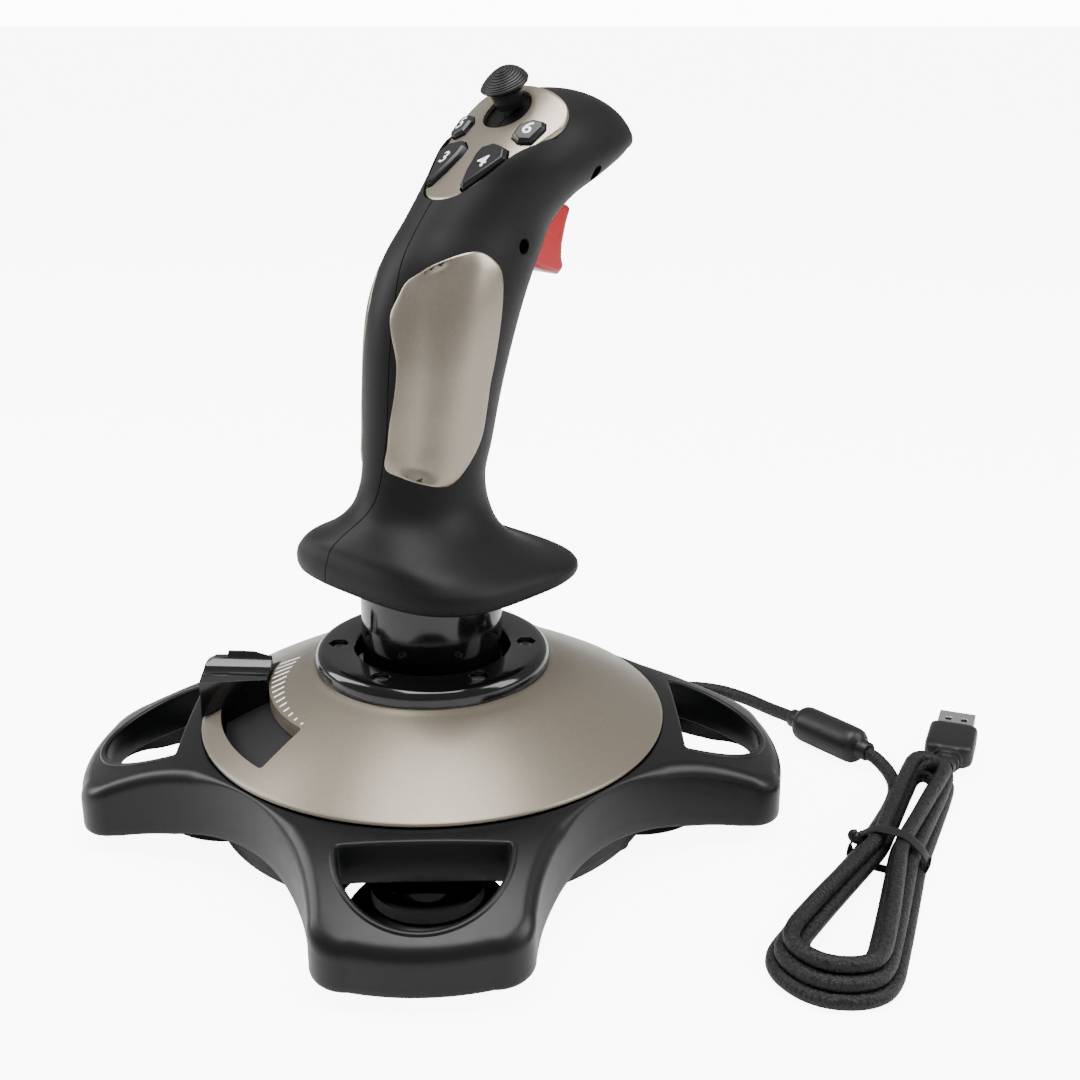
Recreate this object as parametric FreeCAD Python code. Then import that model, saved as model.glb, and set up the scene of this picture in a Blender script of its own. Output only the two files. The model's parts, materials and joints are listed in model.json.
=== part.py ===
import FreeCAD, Part
import math, os
from FreeCAD import Vector as V

# Desktop flight stick. Millimetres. Origin: centre of the base on the table.
# +Y is forward (away from the pilot), +X the pilot's right, +Z up.
# Four arms lie on the diagonals.

# ---- driving dimensions -------------------------------------------------
ARM_REACH = 106.8        # centre to arm end
ARM_W = 59.2             # width of an arm's end
ARM_BOW = 2.6            # bow of the arm end
ARM_RC = 11.0            # plan radius of the arm corners
WAIST_R = 72.5           # reach of the concave side between two arms
WALL = 2.6               # shell thickness of the base
RIM_R = 71.5             # dome rim radius
RIM_Z = 33.2             # dome rim height
RING_R = 36.0            # collar ring radius
RING_HOLE = 23.8         # collar ring bore radius
RING_Z0, RING_Z1 = 50.0, 55.5
COL_R = 21.5             # stick column radius
PIVOT_Z = 55.0           # tilt centre
CUP_PCR = 63.4           # suction cup centre distance
CUP_R = 23.6             # suction cup radius
SLOT_R0, SLOT_R1 = 50.5, 65.5
SLOT_A0, SLOT_A1 = 209.5, 268.5
LEV_A0, LEV_A1 = 217.5, 230.5
PANEL_TILT = 38.67       # thumb panel slope
PANEL_R = 50.0           # thumb panel crown radius
P0 = V(0, 18.58, 200.0)  # thumb panel origin
HAT_E = 20.2             # hat centre up the thumb panel
HAT_HOLE = 7.3           # hat hole radius
HAT_LEAN = -18.0         # hat axis from vertical, towards the pilot
CORD_D = 4.5

os.makedirs("parts", exist_ok=True)
REPORT = []

def put(name, shape):
    shape.exportStep("parts/%s.step" % name)
    REPORT.append((name, len(shape.Solids), shape.Volume, shape.isValid()))

def rad(a): return math.radians(a)
def pol(r, a, z=0.0): return V(r * math.cos(rad(a)), r * math.sin(rad(a)), z)

def rz(shape, a):
    s = shape.copy(); s.rotate(V(0, 0, 0), V(0, 0, 1), a); return s

def poly_face(pts):
    w = Part.makePolygon([V(*p) for p in pts] + [V(*pts[0])])
    return Part.Face(w)

def revolve_rz(pts, ang=360.0, start=0.0):
    f = poly_face([(r, 0, z) for r, z in pts])
    s = f.revolve(V(0, 0, 0), V(0, 0, 1), ang)
    if start: s.rotate(V(0, 0, 0), V(0, 0, 1), start)
    return s

def cyl(r, h, pos=V(0, 0, 0), ax=V(0, 0, 1)):
    return Part.makeCylinder(r, h, pos, ax)

def box(x0, x1, y0, y1, z0, z1):
    return Part.makeBox(x1 - x0, y1 - y0, z1 - z0, V(x0, y0, z0))

def group(shapes):
    return Part.makeCompound(shapes)

def spline_face(pts):
    b = Part.BSplineCurve(); b.interpolate([V(*p) for p in pts], PeriodicFlag=True)
    return Part.Face(Part.Wire(b.toShape()))

def safe_fillet(s, r, edges):
    try:
        t = s.makeFillet(r, edges)
        if t.isValid() and t.Volume > 0: return t
    except Exception:
        pass
    return s

def safe_chamfer(s, r, edges):
    try:
        t = s.makeChamfer(r, edges)
        if t.isValid() and t.Volume > 0: return t
    except Exception:
        pass
    return s

# ---- base plan outline ----------------------------------------------------
# One arm along +X: end arc, rounded corners, then a circular concave waist.
def base_outline(off=0.0):
    R = ARM_REACH - off; w = ARM_W / 2 - off; rc = max(ARM_RC - off, 2.0)
    xe = R - ARM_BOW
    # waist arc: passes (WAIST_R on the diagonal) and the arm flank points
    fl = V(xe - rc, w, 0)
    d = V(math.cos(rad(45)), math.sin(rad(45)), 0)
    m = d * (WAIST_R - off)
    fl2 = V(w, xe - rc, 0)
    k = math.sqrt(0.5)
    edges = []
    for q in range(4):
        def T(p): 
            a = rad(45 + 90 * q); return V(p.x * math.cos(a) - p.y * math.sin(a), p.x * math.sin(a) + p.y * math.cos(a), 0)
        A = V(xe - rc, -w, 0); Am = V(xe - rc + rc * k, -w + rc * (1 - k), 0); B = V(xe, -w + rc, 0)
        C = V(xe, w - rc, 0); Cm = V(xe - rc + rc * k, w - rc * (1 - k), 0); D = V(xe - rc, w, 0)
        edges.append(Part.Arc(T(A), T(Am), T(B)).toShape())
        edges.append(Part.Arc(T(B), T(V(R, 0, 0)), T(C)).toShape())
        edges.append(Part.Arc(T(C), T(Cm), T(D)).toShape())
        edges.append(Part.Arc(T(D), T(m), T(fl2)).toShape())
    return Part.Wire(Part.__sortEdges__(edges))

def outline_prism(off, z0, z1):
    f = Part.Face(base_outline(off)); f.translate(V(0, 0, z0))
    return f.extrude(V(0, 0, z1 - z0))

TOP = [(72.3, 31.9), (77, 31.2), (84, 29.2), (92, 26.2), (100, 22.6), (106, 19.9), (112, 17.0)]
BOT = [(72.5, 13.0), (84, 9.6), (98, 7.2), (112, 6.2)]

def body_rev(dt, db):
    pts = [(0.0, 31.9 - dt)] + [(r, z - dt) for r, z in TOP] + [(112, BOT[-1][1] + db)]
    pts += [(r, z + db) for r, z in reversed(BOT[:-1])] + [(60, 13.5 + db), (0.0, 13.5 + db)]
    return revolve_rz(pts)

# D-shaped window over each suction cup, for the arm along +X
def window_face(off=0.0, z=0.0):
    pts = []
    hw, ra, xc = 23.4 + off, 26.3 + off, 76.5
    for i in range(0, 25):
        t = -90 + 180 * i / 24.0
        pts.append(V(xc + ra * math.cos(rad(t)), hw * math.sin(rad(t)), z))
    b = Part.BSplineCurve(); b.interpolate(pts)
    r = 76.5 - off
    a = math.asin(min(0.99, hw / math.hypot(xc, hw)))
    p0, p1 = pts[0], pts[-1]
    mid = V(76.6 - off, 0, z)
    edges = [b.toShape(), Part.Arc(p1, mid, p0).toShape()]
    return Part.Face(Part.Wire(edges))

def windows(off, z0, z1):
    out = []
    for q in range(4):
        f = window_face(off, z0); s = f.extrude(V(0, 0, z1 - z0)); s.rotate(V(0, 0, 0), V(0, 0, 1), 45 + 90 * q)
        out.append(s)
    return out

# ---- base frame -------------------------------------------------------------
outer = outline_prism(0, 0, 40).common(body_rev(0, 0))
inner = outline_prism(WALL, -1, 40).common(body_rev(WALL, -6.0))
frame = outer.cut(inner)
frame = frame.cut(cyl(70.0, 60, V(0, 0, -5)).cut(cyl(70.0, 60, V(0, 0, -65))))
# window openings with hanging rims
for w in windows(0, -5, 45):
    frame = frame.cut(w)
rims = []
for wo, wi in zip(windows(2.0, 8, 34), windows(0.0, 7, 35)):
    rims.append(wo.cut(wi))
lim = revolve_rz([(78.5, 31.2 - 13)] + [(78.5, 30.2)] + [(84, 28.8), (92, 25.8), (100, 22.2), (106, 19.5)] + [(106, 10.5), (92, 14.0)])
for r_ in rims:
    c = r_.common(lim)
    frame = frame.fuse(c)
# screw posts that the bottom cover fastens to, on the axes near the waist
posts = []
for a in (0, 90, 180, 270):
    p = cyl(4.0, 29.0 - 14.2, pol(63.0, a + 14, 14.2)).cut(cyl(1.25, 12, pol(63.0, a + 14, 14.0)))
    posts.append(p)
lip = revolve_rz([(65.8, 29.0), (72.0, 29.0), (72.0, 31.4), (66.4, 31.4), (65.8, 30.8)])
frame = frame.fuse([lip] + posts)
frame = frame.cut(revolve_rz([(60.0, 31.4), (71.75, 31.4), (71.75, 36), (60.0, 36)]))
for w in windows(0, -5, 45):
    frame = frame.cut(w)
# cable notch in the forward waist
frame = frame.cut(cyl(4.6, 12, V(0, 66, 12.6), V(0, 1, 0)))
frame = frame.removeSplitter()
put("base_frame", frame)

# ---- bottom cover with four suction-cup wells --------------------------------
bowl_out = revolve_rz([(0, 3.0), (66.5, 3.0), (68.6, 4.6), (69.8, 8.0), (69.8, 13.8), (0, 13.8)])
bowl_in = revolve_rz([(0, 5.2), (65.4, 5.2), (66.8, 6.2), (67.6, 9.0), (67.6, 20), (0, 20)])
cover = bowl_out.cut(bowl_in)
keep = cyl(69.8, 40)
wells = []
for q in range(4):
    c = pol(CUP_PCR, 45 + 90 * q)
    wo = cyl(27.4, 25.0 - 3.0, V(c.x, c.y, 3.0)).common(keep)
    wells.append(wo)
cover = cover.fuse(wells)
for q in range(4):
    c = pol(CUP_PCR, 45 + 90 * q)
    cover = cover.cut(cyl(25.4, 23.0 + 3, V(c.x, c.y, -3.0)))
# strut and seat that carries each cup's stud
seats = []
for q in range(4):
    a = 45 + 90 * q
    c = pol(CUP_PCR, a)
    seat = cyl(16.0, 2.0, V(c.x, c.y, 7.2)).cut(cyl(5.2, 4, V(c.x, c.y, 6.2)))
    web = box(36.0, CUP_PCR - 15.0, -4, 4, 7.2, 9.2)
    web.rotate(V(0, 0, 0), V(0, 0, 1), a)
    lipr = cyl(16.0, 1.6, V(c.x, c.y, 9.2)).cut(cyl(14.6, 3, V(c.x, c.y, 9.0)))
    seats += [seat, web, lipr]
cover = cover.fuse(seats)
for k, a in enumerate((0, 90, 180, 270)):
    cover = cover.fuse(cyl(5.0, 11.2, pol(63.0, a + 14, 3.0)))
    cover = cover.cut(cyl(1.7, 20, pol(63.0, a + 14, -2.0))).cut(cyl(3.2, 9.0, pol(63.0, a + 14, -2.0)))
cover = cover.cut(cyl(3.4, 14, V(0, 60, 9.5), V(0, 1, 0)))
cover = cover.removeSplitter()
put("bottom_cover", cover)

# ---- suction cups and their knobs ---------------------------------------------
names = ["fr", "fl", "rl", "rr"]
cupp = [(3.4, 6.9), (11.5, 6.9), (17, 5.6), (22.2, 2.6), (CUP_R, 0.6), (CUP_R - 0.6, 0.0), (21.4, 0.0), (17, 2.4), (10, 4.0), (3.4, 4.4)]
cup0 = revolve_rz(cupp)
neck = revolve_rz([(0, 4.4), (3.4, 4.4), (3.4, 6.9), (5.0, 6.9), (5.0, 9.5), (0, 9.5)])
cup0 = cup0.fuse(neck).removeSplitter()
for q in range(4):
    c = pol(CUP_PCR, 45 + 90 * q); s = cup0.copy(); s.translate(c)
    put("suction_cup_" + names[q], s)
knob = revolve_rz([(0, 9.5), (11.2, 9.5), (11.2, 10.4), (10.5, 12.0), (8.6, 13.7), (5.6, 15.0), (2.6, 15.6), (0, 15.7)])
put("cup_knobs", group([knob.translated(pol(CUP_PCR, 45 + 90 * q)) for q in range(4)]))

# ---- dome cover ------------------------------------------------------------------
def dome_z(r):
    # shallow convex cap between the ring seat and the rim
    t = (r - 37.0) / (RIM_R - 37.0)
    return 49.6 + (RIM_Z - 49.6) * t + 3.4 * t * (1 - t)
prof = [(25.0, 50.0), (36.6, 50.0), (37.4, 49.5)]
rs = [40 + 3.0 * i for i in range(11)]
prof += [(r, dome_z(r)) for r in rs] + [(RIM_R, RIM_Z), (RIM_R, RIM_Z - 0.9), (70.9, 31.4)]
prof_in = [(66.2, 31.4)] + [(r - 0.6, dome_z(r) - 2.3) for r in reversed([40 + 3.0 * i for i in range(9)])] + [(37.2, 47.6), (25.0, 47.6)]
dome = revolve_rz(prof + prof_in)
def sector(r0, r1, a0, a1, z0, z1):
    s = cyl(r1, z1 - z0, V(0, 0, z0)).cut(cyl(r0, z1 - z0 + 2, V(0, 0, z0 - 1)))
    w = Part.makeCylinder(r1 + 30, z1 - z0 + 4, V(0, 0, z0 - 2), V(0, 0, 1), a1 - a0)
    w.rotate(V(0, 0, 0), V(0, 0, 1), a0)
    return s.common(w)
dome = dome.cut(sector(SLOT_R0, SLOT_R1, SLOT_A0, SLOT_A1, 25, 60))
wall = sector(SLOT_R0 - 1.7, SLOT_R0, SLOT_A0 - 2, SLOT_A1, dome_z(SLOT_R0) - 4.6, dome_z(SLOT_R0) - 0.9)
dome = dome.fuse(wall)
dscrew = [45 + 60 * k for k in range(6)]
for a in dscrew:
    dome = dome.cut(cyl(1.5, 10, pol(28.8, a, 44)))
dome = dome.removeSplitter()
put("dome_cover", dome)

# ---- collar ring -------------------------------------------------------------------
ring = revolve_rz([(RING_HOLE, RING_Z0), (RING_R, RING_Z0), (RING_R, 52.6), (35.4, 54.2), (34.2, 55.2), (33.0, 55.5), (24.8, 55.5), (RING_HOLE, 54.5)])
def hexprism(af, h, pos, turn=0):
    pts = []
    for i in range(6):
        a = turn + 60 * i
        pts.append((pos.x + af / math.sqrt(3) * math.cos(rad(a)), pos.y + af / math.sqrt(3) * math.sin(rad(a)), pos.z))
    return poly_face(pts).extrude(V(0, 0, h))
scr = []
for a in dscrew:
    p = pol(28.8, a, 0)
    ring = ring.cut(hexprism(5.6, 5, V(p.x, p.y, 52.6), a)).cut(cyl(1.6, 10, V(p.x, p.y, 48)))
    h = cyl(2.5, 1.7, V(p.x, p.y, 52.6)).fuse(cyl(1.5, 7.4, V(p.x, p.y, 45.2))).cut(hexprism(2.0, 1.2, V(p.x, p.y, 53.2), a))
    scr.append(h)
put("collar_ring", ring.removeSplitter())
put("collar_screws", group(scr))

# bottom screws
bs = []
for a in (0, 90, 180, 270):
    p = pol(63.0, a + 14, 0)
    s = cyl(2.8, 1.8, V(p.x, p.y, 5.2)).fuse(cyl(1.25, 14.0, V(p.x, p.y, 7.0)))
    s = s.cut(box(p.x - 1.8, p.x + 1.8, p.y - 0.3, p.y + 0.3, 5.0, 6.0)).cut(box(p.x - 0.3, p.x + 0.3, p.y - 1.8, p.y + 1.8, 5.0, 6.0))
    bs.append(s)
put("bottom_screws", group(bs))

# ---- main board, pedestal, tilt joint ------------------------------------------------
pcb = box(-17, 17, 16, 48, 7.2, 8.8)
for dx in (-13, 13):
    for y in (20, 44): pcb = pcb.cut(cyl(1.3, 5, V(dx, y, 6)))
chips = [box(-6, 6, 26, 38, 8.8, 10.4), box(-15, -9, 40, 45, 8.8, 13.0), box(9.5, 14, 25, 31, 8.8, 10.6)]
pcb = pcb.fuse(chips)
put("main_board", pcb)
put("board_posts", group([cyl(2.6, 2.0, V(dx, y, 5.2)) for dx in (-13, 13) for y in (20, 44)]))

ped = cyl(14.0, 3.0, V(0, 0, 5.2)).fuse(cyl(9.0, 38.8, V(0, 0, 8.2))).cut(cyl(6.2, 60, V(0, 0, 0)))
ear = box(9.5, 13.0, -5.5, 5.5, 40.0, PIVOT_Z).fuse(cyl(5.5, 3.5, V(9.5, 0, PIVOT_Z), V(1, 0, 0)))
foot = box(4.0, 13.0, -5.5, 5.5, 40.0, 45.5)
ear = ear.fuse(foot)
ear2 = ear.mirror(V(0, 0, 0), V(1, 0, 0))
ped = ped.fuse([ear, ear2]).cut(cyl(6.2, 60, V(0, 0, 0))).cut(cyl(3.05, 40, V(-20, 0, PIVOT_Z), V(1, 0, 0)))
put("pedestal", ped.removeSplitter())
cross = box(-9.2, 9.2, -6, 6, PIVOT_Z - 5, PIVOT_Z + 5).fuse([cyl(3.0, 32.0, V(-16.0, 0, PIVOT_Z), V(1, 0, 0)), cyl(3.0, 35.6, V(0, -17.8, PIVOT_Z), V(0, 1, 0))])
cross = cross.cut(cyl(2.0, 14, V(0, 0, PIVOT_Z - 7)))
put("gimbal_cross", cross.removeSplitter())
put("pitch_sensor", cyl(4.2, 2.8, V(13.2, 0, PIVOT_Z), V(1, 0, 0)).cut(cyl(3.05, 6, V(12, 0, PIVOT_Z), V(1, 0, 0))).fuse(box(13.2, 14.4, -4.0, 4.0, PIVOT_Z - 9.5, PIVOT_Z - 3.4)))
def coil(x0, r, wire, n):
    # close-wound torsion spring about an axis, turns touching
    prof = [(x0, r)]
    for i in range(n):
        for k in range(1, 9):
            t = k / 8.0
            prof.append((x0 + (i + t) * wire, r + wire * math.sin(math.pi * t)))
    return prof
def spring_x(x0, n=3, wire=1.0, r=3.4):
    p = coil(x0, r, wire, n)
    pts = [(x, 0, rr) for x, rr in p] + [(x0 + n * wire, 0, 3.15), (x0, 0, 3.15)]
    face = poly_face(pts)
    s = face.revolve(V(0, 0, 0), V(1, 0, 0), 360)
    return s
sp = spring_x(-15.9, 3, 0.9); sp.translate(V(0, 0, PIVOT_Z)); put("pitch_spring", sp)

# stick column: hollow skirt over the joint, plate, spigot for the twist bearing
col = cyl(COL_R, 26.0, V(0, 0, 50.0)).cut(cyl(18.9, 22.0, V(0, 0, 49.0)))
ears = box(-6, 6, 14.0, 18.9, 50.4, 71.5).fuse(box(-6, 6, -18.9, -14.0, 50.4, 71.5)).common(cyl(19.2, 40, V(0, 0, 45)))
col = col.fuse([ears, cyl(22.3, 2.4, V(0, 0, 75.0)), cyl(12.0, 30.0, V(0, 0, 76.0))])
col = col.cut(cyl(3.05, 36.4, V(0, -18.2, PIVOT_Z), V(0, 1, 0))).cut(cyl(6.0, 60, V(0, 0, 70)))
col = safe_chamfer(col, 0.6, [e for e in col.Edges if abs(e.BoundBox.ZMin - 50.0) < 0.01 and abs(e.BoundBox.XLength - 2 * COL_R) < 0.1 and e.BoundBox.ZLength < 0.01])
col = col.removeSplitter()
put("stick_column", col)
sy = spring_x(10.9, 3, 0.95); sy.rotate(V(0, 0, 0), V(0, 0, 1), 90); sy.translate(V(0, 0, PIVOT_Z)); put("roll_spring", sy)
rs_ = cyl(5.0, 2.8, V(0, -13.95, PIVOT_Z), V(0, 1, 0)).cut(cyl(3.3, 8, V(0, -16, PIVOT_Z), V(0, 1, 0)))
put("roll_sensor", rs_)

# ---- throttle ---------------------------------------------------------------------
hub = cyl(13.5, 5.0, V(0, 0, 24.0)).cut(cyl(9.06, 8, V(0, 0, 22)))
am = (LEV_A0 + LEV_A1) / 2
arm = box(11.0, 52.0, -5, 5, 25.0, 27.4); arm.rotate(V(0, 0, 0), V(0, 0, 1), am)
def cone_shell(r0, r1, dz, t, a0, a1):
    pts = []
    rr = [r0 + (r1 - r0) * i / 6.0 for i in range(7)]
    pts = [(r, dome_z(r) - dz) for r in rr] + [(r, dome_z(r) - dz - t) for r in reversed(rr)]
    s = revolve_rz(pts, a1 - a0, a0)
    return s
car = cone_shell(45.5, 64.2, 5.6, 1.6, SLOT_A0 - 38.5, SLOT_A1 + 8.5)
riser = sector(44.6, 50.0, am - 6, am + 6, 25.0, 41.0).cut(cone_shell(40, 60, -6, 11.8, am - 20, am + 20))
car2 = car.fuse([riser, arm, hub]).cut(cyl(9.06, 30, V(0, 0, 10)))
put("throttle_carriage", car2.removeSplitter())
lift = sector(SLOT_R0 + 0.6, SLOT_R1 - 0.6, LEV_A0, LEV_A1, 30, 50)
# lever: stem in the slot, saddle cap that hangs over the slot's outer edge
stem = lift.common(revolve_rz([(50, dome_z(50) - 6.4), (57, dome_z(57) - 6.4), (64.0, dome_z(64.0) - 6.4), (64.9, dome_z(64.0) - 6.4), (64.9, 60), (50, 60)]))
under = [(r, dome_z(r) - 6.4) for r in (SLOT_R0, 55.0, 60.0, 65.1)]
cap = sector(SLOT_R0 + 0.6, 71.6, LEV_A0, LEV_A1, 30, 52).common(revolve_rz(under + [(65.1, dome_z(65) + 0.5), (71.0, dome_z(70.4) + 0.4), (71.6, dome_z(71)+0.4), (71.6, 47.0), (69, 48.4), (60, 48.8), (54, 47.4), (SLOT_R0, 46.0)]))
lev = stem.fuse(cap).cut(car)
# concave thumb saddle scooped out of the top between two ridges
sc = cyl(7.6, 40, V(45, 0, 52.6), V(1, 0, 0)); sc.rotate(V(45, 0, 52.6), V(0, 1, 0), -2.0); sc.rotate(V(0, 0, 0), V(0, 0, 1), am + 0.6)
lev = lev.cut(sc)
low = sector(50, 73, am + 2.2, LEV_A1 + 1, 45.8, 60)
lev = lev.cut(low).removeSplitter()
if len(lev.Solids) > 1: lev = sorted(lev.Solids, key=lambda s: -s.Volume)[0]
put("throttle_lever", lev)
put("throttle_sensor", box(-9, 9, -30, -19, 5.2, 16.0).fuse(cyl(3.0, 4, V(0, -24, 16))))

# ---- grip ---------------------------------------------------------------------------
# sections: yc, zc, tilt (deg, front side down), half length, half width, exponent
SEC = [
 (3.0, 80.0, 0, 33.4, 38.8, 2.6),
 (2.8, 81.2, 0, 34.2, 39.6, 2.6),
 (2.2, 85.0, 3, 34.0, 38.8, 2.55),
 (-0.6, 88.6, 6, 31.0, 34.2, 2.4),
 (-2.6, 92.0, 7, 27.6, 28.4, 2.25),
 (-3.4, 96.0, 6, 24.4, 22.8, 2.1),
 (-1.6, 101.5, 3, 21.4, 18.8, 2.05),
 (1.0, 109.0, 0, 19.6, 17.2, 2.0),
 (3.5, 120.0, 0, 20.5, 17.4, 2.0),
 (6.0, 135.0, 0, 22.0, 18.2, 2.0),
 (8.8, 149.0, 0, 23.6, 19.0, 2.0),
 (12.0, 162.0, 0, 24.1, 18.8, 2.0),
 (16.6, 173.0, 1, 23.4, 18.0, 2.0),
 (23.2, 182.0, 4, 22.0, 17.8, 2.05),
 (31.0, 190.4, 9, 22.6, 19.6, 2.15),
 (39.6, 197.4, 16, 22.8, 21.6, 2.3),
 (49.2, 203.2, 24, 21.6, 21.4, 2.4),
 (58.6, 206.6, 33, 19.0, 19.0, 2.4),
 (67.0, 207.8, 41, 15.4, 16.0, 2.35),
 (74.0, 206.6, 47, 11.2, 12.6, 2.3),
 (78.0, 205.2, 51, 7.0, 9.0, 2.2),
]
def sec_wire(yc, zc, tilt, a, b, n, off=0.0):
    a -= off; b -= off
    pts = []
    N = 28
    c, s = math.cos(rad(tilt)), math.sin(rad(tilt))
    for i in range(N):
        t = 2 * math.pi * (i + 0.5) / N
        x = b * abs(math.cos(t)) ** (2 / n) * (1 if math.cos(t) >= 0 else -1)
        y = a * abs(math.sin(t)) ** (2 / n) * (1 if math.sin(t) >= 0 else -1)
        pts.append(V(x, yc + y * c, zc - y * s))
    bs = Part.BSplineCurve(); bs.interpolate(pts, PeriodicFlag=True)
    return Part.Wire(bs.toShape())
G = Part.makeLoft([sec_wire(*s) for s in SEC], True, False)
G2 = Part.makeLoft([sec_wire(*s, off=1.7) for s in SEC[1:-1]], True, False)
G3 = Part.makeLoft([sec_wire(*s, off=3.4) for s in SEC[1:-1]], True, False)
for g in (G, G2, G3):
    if g.Volume < 0: g.reverse()
tl = rad(PANEL_TILT)
NP = V(0, -math.sin(tl), math.cos(tl)); EP = V(0, math.cos(tl), math.sin(tl)); XP = V(1, 0, 0)
def pan(x, e, h=0.0): return P0 + XP * x + EP * e + NP * h
PANEL_OUT = [(0, -17.2), (5.2, -15.6), (9.0, -10.6), (12.2, -3.6), (15.2, 4.6), (18.4, 13.0), (20.0, 20.0), (17.6, 26.2), (10.6, 29.6), (0, 30.6)]
full = PANEL_OUT + [(-x, e) for x, e in reversed(PANEL_OUT[1:-1])]
def panel_prism(scale, h0, h1):
    cx, ce = 0.0, 7.0
    pts = [pan((x - cx) * scale + cx, (e - ce) * scale + ce, h0) for x, e in full]
    b = Part.BSplineCurve(); b.interpolate(pts, PeriodicFlag=True)
    return Part.Face(Part.Wire(b.toShape())).extrude(NP * (h1 - h0))
def crown(r):
    return cyl(r, 90, pan(0, -35, -PANEL_R), EP)
pocket = panel_prism(1.012, -12, 14).cut(crown(PANEL_R - 2.2))
panel = panel_prism(1.0, -12, 14).common(crown(PANEL_R)).cut(crown(PANEL_R - 2.0))

# buttons, each normal to the crowned panel
def local(sc_, ec, pts, h0, h1, shrink=1.0):
    phi = sc_ / PANEL_R
    nrm = NP * math.cos(phi) + XP * math.sin(phi); xa = XP * math.cos(phi) - NP * math.sin(phi)
    o = pan(0, ec, -PANEL_R) + nrm * PANEL_R
    w = [o + xa * (x * shrink) + EP * (e * shrink) + nrm * h0 for x, e in pts]
    return Part.Face(Part.makePolygon(w + [w[0]])).extrude(nrm * (h1 - h0)), nrm, o
HEX = [(-4.2, 2.4), (-2.9, 4.7), (1.0, 4.5), (4.3, 1.2), (4.2, -3.8), (0.6, -5.4), (-3.2, -4.0)]
KITE = [(-4.6, 1.6), (-4.3, 5.0), (-1.0, 7.7), (4.6, 6.4), (6.6, 2.6), (0.2, -11.8), (-1.6, -10.8), (-3.4, -5.0)]
BUT = {"button_6": (13.4, 13.3, [(-x, e) for x, e in HEX]), "button_5": (-13.4, 13.3, HEX),
       "button_4": (7.2, -1.2, KITE), "button_3": (-7.2, -1.2, [(-x, e) for x, e in KITE])}
BAX = {}
for nm, (s_, e_, pts) in BUT.items():
    hole, nr, o = local(s_, e_, pts, -6, 6, 1.0)
    panel = panel.cut(hole)
    pocket = pocket.fuse(local(s_, e_, pts, -7.5, 2, 1.1)[0])
    bt, nr, o = local(s_, e_, pts, -3.6, 1.7, 0.93)
    top = [ed for ed in bt.Edges if all(abs((v.Point - o).dot(nr) - 1.7) < 1e-4 for v in ed.Vertexes)]
    bt = safe_chamfer(bt, 0.45, top)
    fl, _, _ = local(s_, e_, pts, -3.6, -2.6, 1.06)
    bt = bt.fuse(fl).removeSplitter()
    put(nm, bt)
    BAX[nm] = nr
# hat hole
panel = panel.cut(cyl(HAT_HOLE, 30, pan(0, HAT_E, -12), NP))
pocket = pocket.fuse(cyl(8.2, 12, pan(0, HAT_E, -9.4), NP))
panel = panel.removeSplitter()
if len(panel.Solids) > 1: panel = sorted(panel.Solids, key=lambda s: -s.Volume)[0]
put("thumb_panel", panel)
# hat: boot seat, gimbal ring, stalk and cap
HP = pan(0, HAT_E, -4.0)          # hat pivot
lean = rad(HAT_LEAN); HAX = V(0, math.sin(lean), math.cos(lean))
def rev_on(pts, pos, ax):
    f = poly_face([(r, 0, z) for r, z in pts]); s = f.revolve(V(0, 0, 0), V(0, 0, 1), 360)
    rot = FreeCAD.Rotation(V(0, 0, 1), ax); pl = FreeCAD.Placement(pos, rot); s.Placement = pl
    return s
ridge = [(0, 4.0), (3.5, 4.0), (3.6, 4.4), (4.2, 6.0), (4.4, 7.0), (4.8, 7.8), (5.0, 8.6), (6.6, 9.9), (7.2, 10.5), (7.3, 11.0), (6.9, 11.6), (6.95, 11.9), (6.2, 12.4), (6.2, 12.7), (5.3, 13.1), (5.3, 13.4), (4.3, 13.7), (4.3, 14.0), (3.2, 14.2), (3.2, 14.45), (2.1, 14.6), (2.1, 14.8), (0, 15.0)]
put("hat_cap", rev_on(ridge, HP, HAX))
# stalk: ball, stem into the cap, cross pin along the panel's length
stalk = Part.makeSphere(2.6, HP).fuse([cyl(1.5, 4.0, HP, HAX), cyl(0.6, 8.0, HP - EP * 4.0, EP)])
put("hat_stalk", stalk.removeSplitter())
# ring: turns about X on its own two pins and carries the stalk's pin
gring = cyl(4.4, 2.4, HP - NP * 1.2, NP).cut(cyl(2.95, 6, HP - NP * 3, NP)).cut(cyl(0.65, 12, HP - EP * 6, EP))
gring = gring.fuse([cyl(0.7, 2.2, HP + XP * 3.8, XP), cyl(0.7, 2.2, HP - XP * 6.0, XP)]).cut(cyl(2.95, 6, HP - NP * 3, NP))
put("hat_gimbal", gring.removeSplitter())
seat = cyl(7.8, 2.0, HP - NP * 4.6, NP).fuse(cyl(7.8, 3.9, HP - NP * 2.6, NP).cut(cyl(4.8, 9, HP - NP * 2.6, NP)))
seat = seat.cut(Part.makeSphere(2.95, HP)).cut(cyl(0.75, 13.0, HP - XP * 6.5, XP))
put("hat_seat", seat.removeSplitter())

# shells
Sk = G.cut(G3)
# skirt floor plate closed around the column
hole = cyl(22.9, 20, V(0, 0, 70))
floor_ = G.common(box(-60, 60, -60, 60, 79.0, 82.6)).cut(hole)
bear = cyl(16.0, 20.0, V(0, 0, 84.0)).cut(cyl(12.06, 30, V(0, 0, 80)))
Sk = Sk.fuse(floor_)
Sk = Sk.cut(cyl(22.9, 12, V(0, 0, 70)))
plate = G3.common(box(-60, 60, -60, 60, 92.0, 95.0)).cut(cyl(16.0, 20, V(0, 0, 85)))
Sk = Sk.fuse(plate)
Sk = Sk.cut(pocket)
LEFT_SHIFT = 6.0         # the left panel stands further forward
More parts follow.
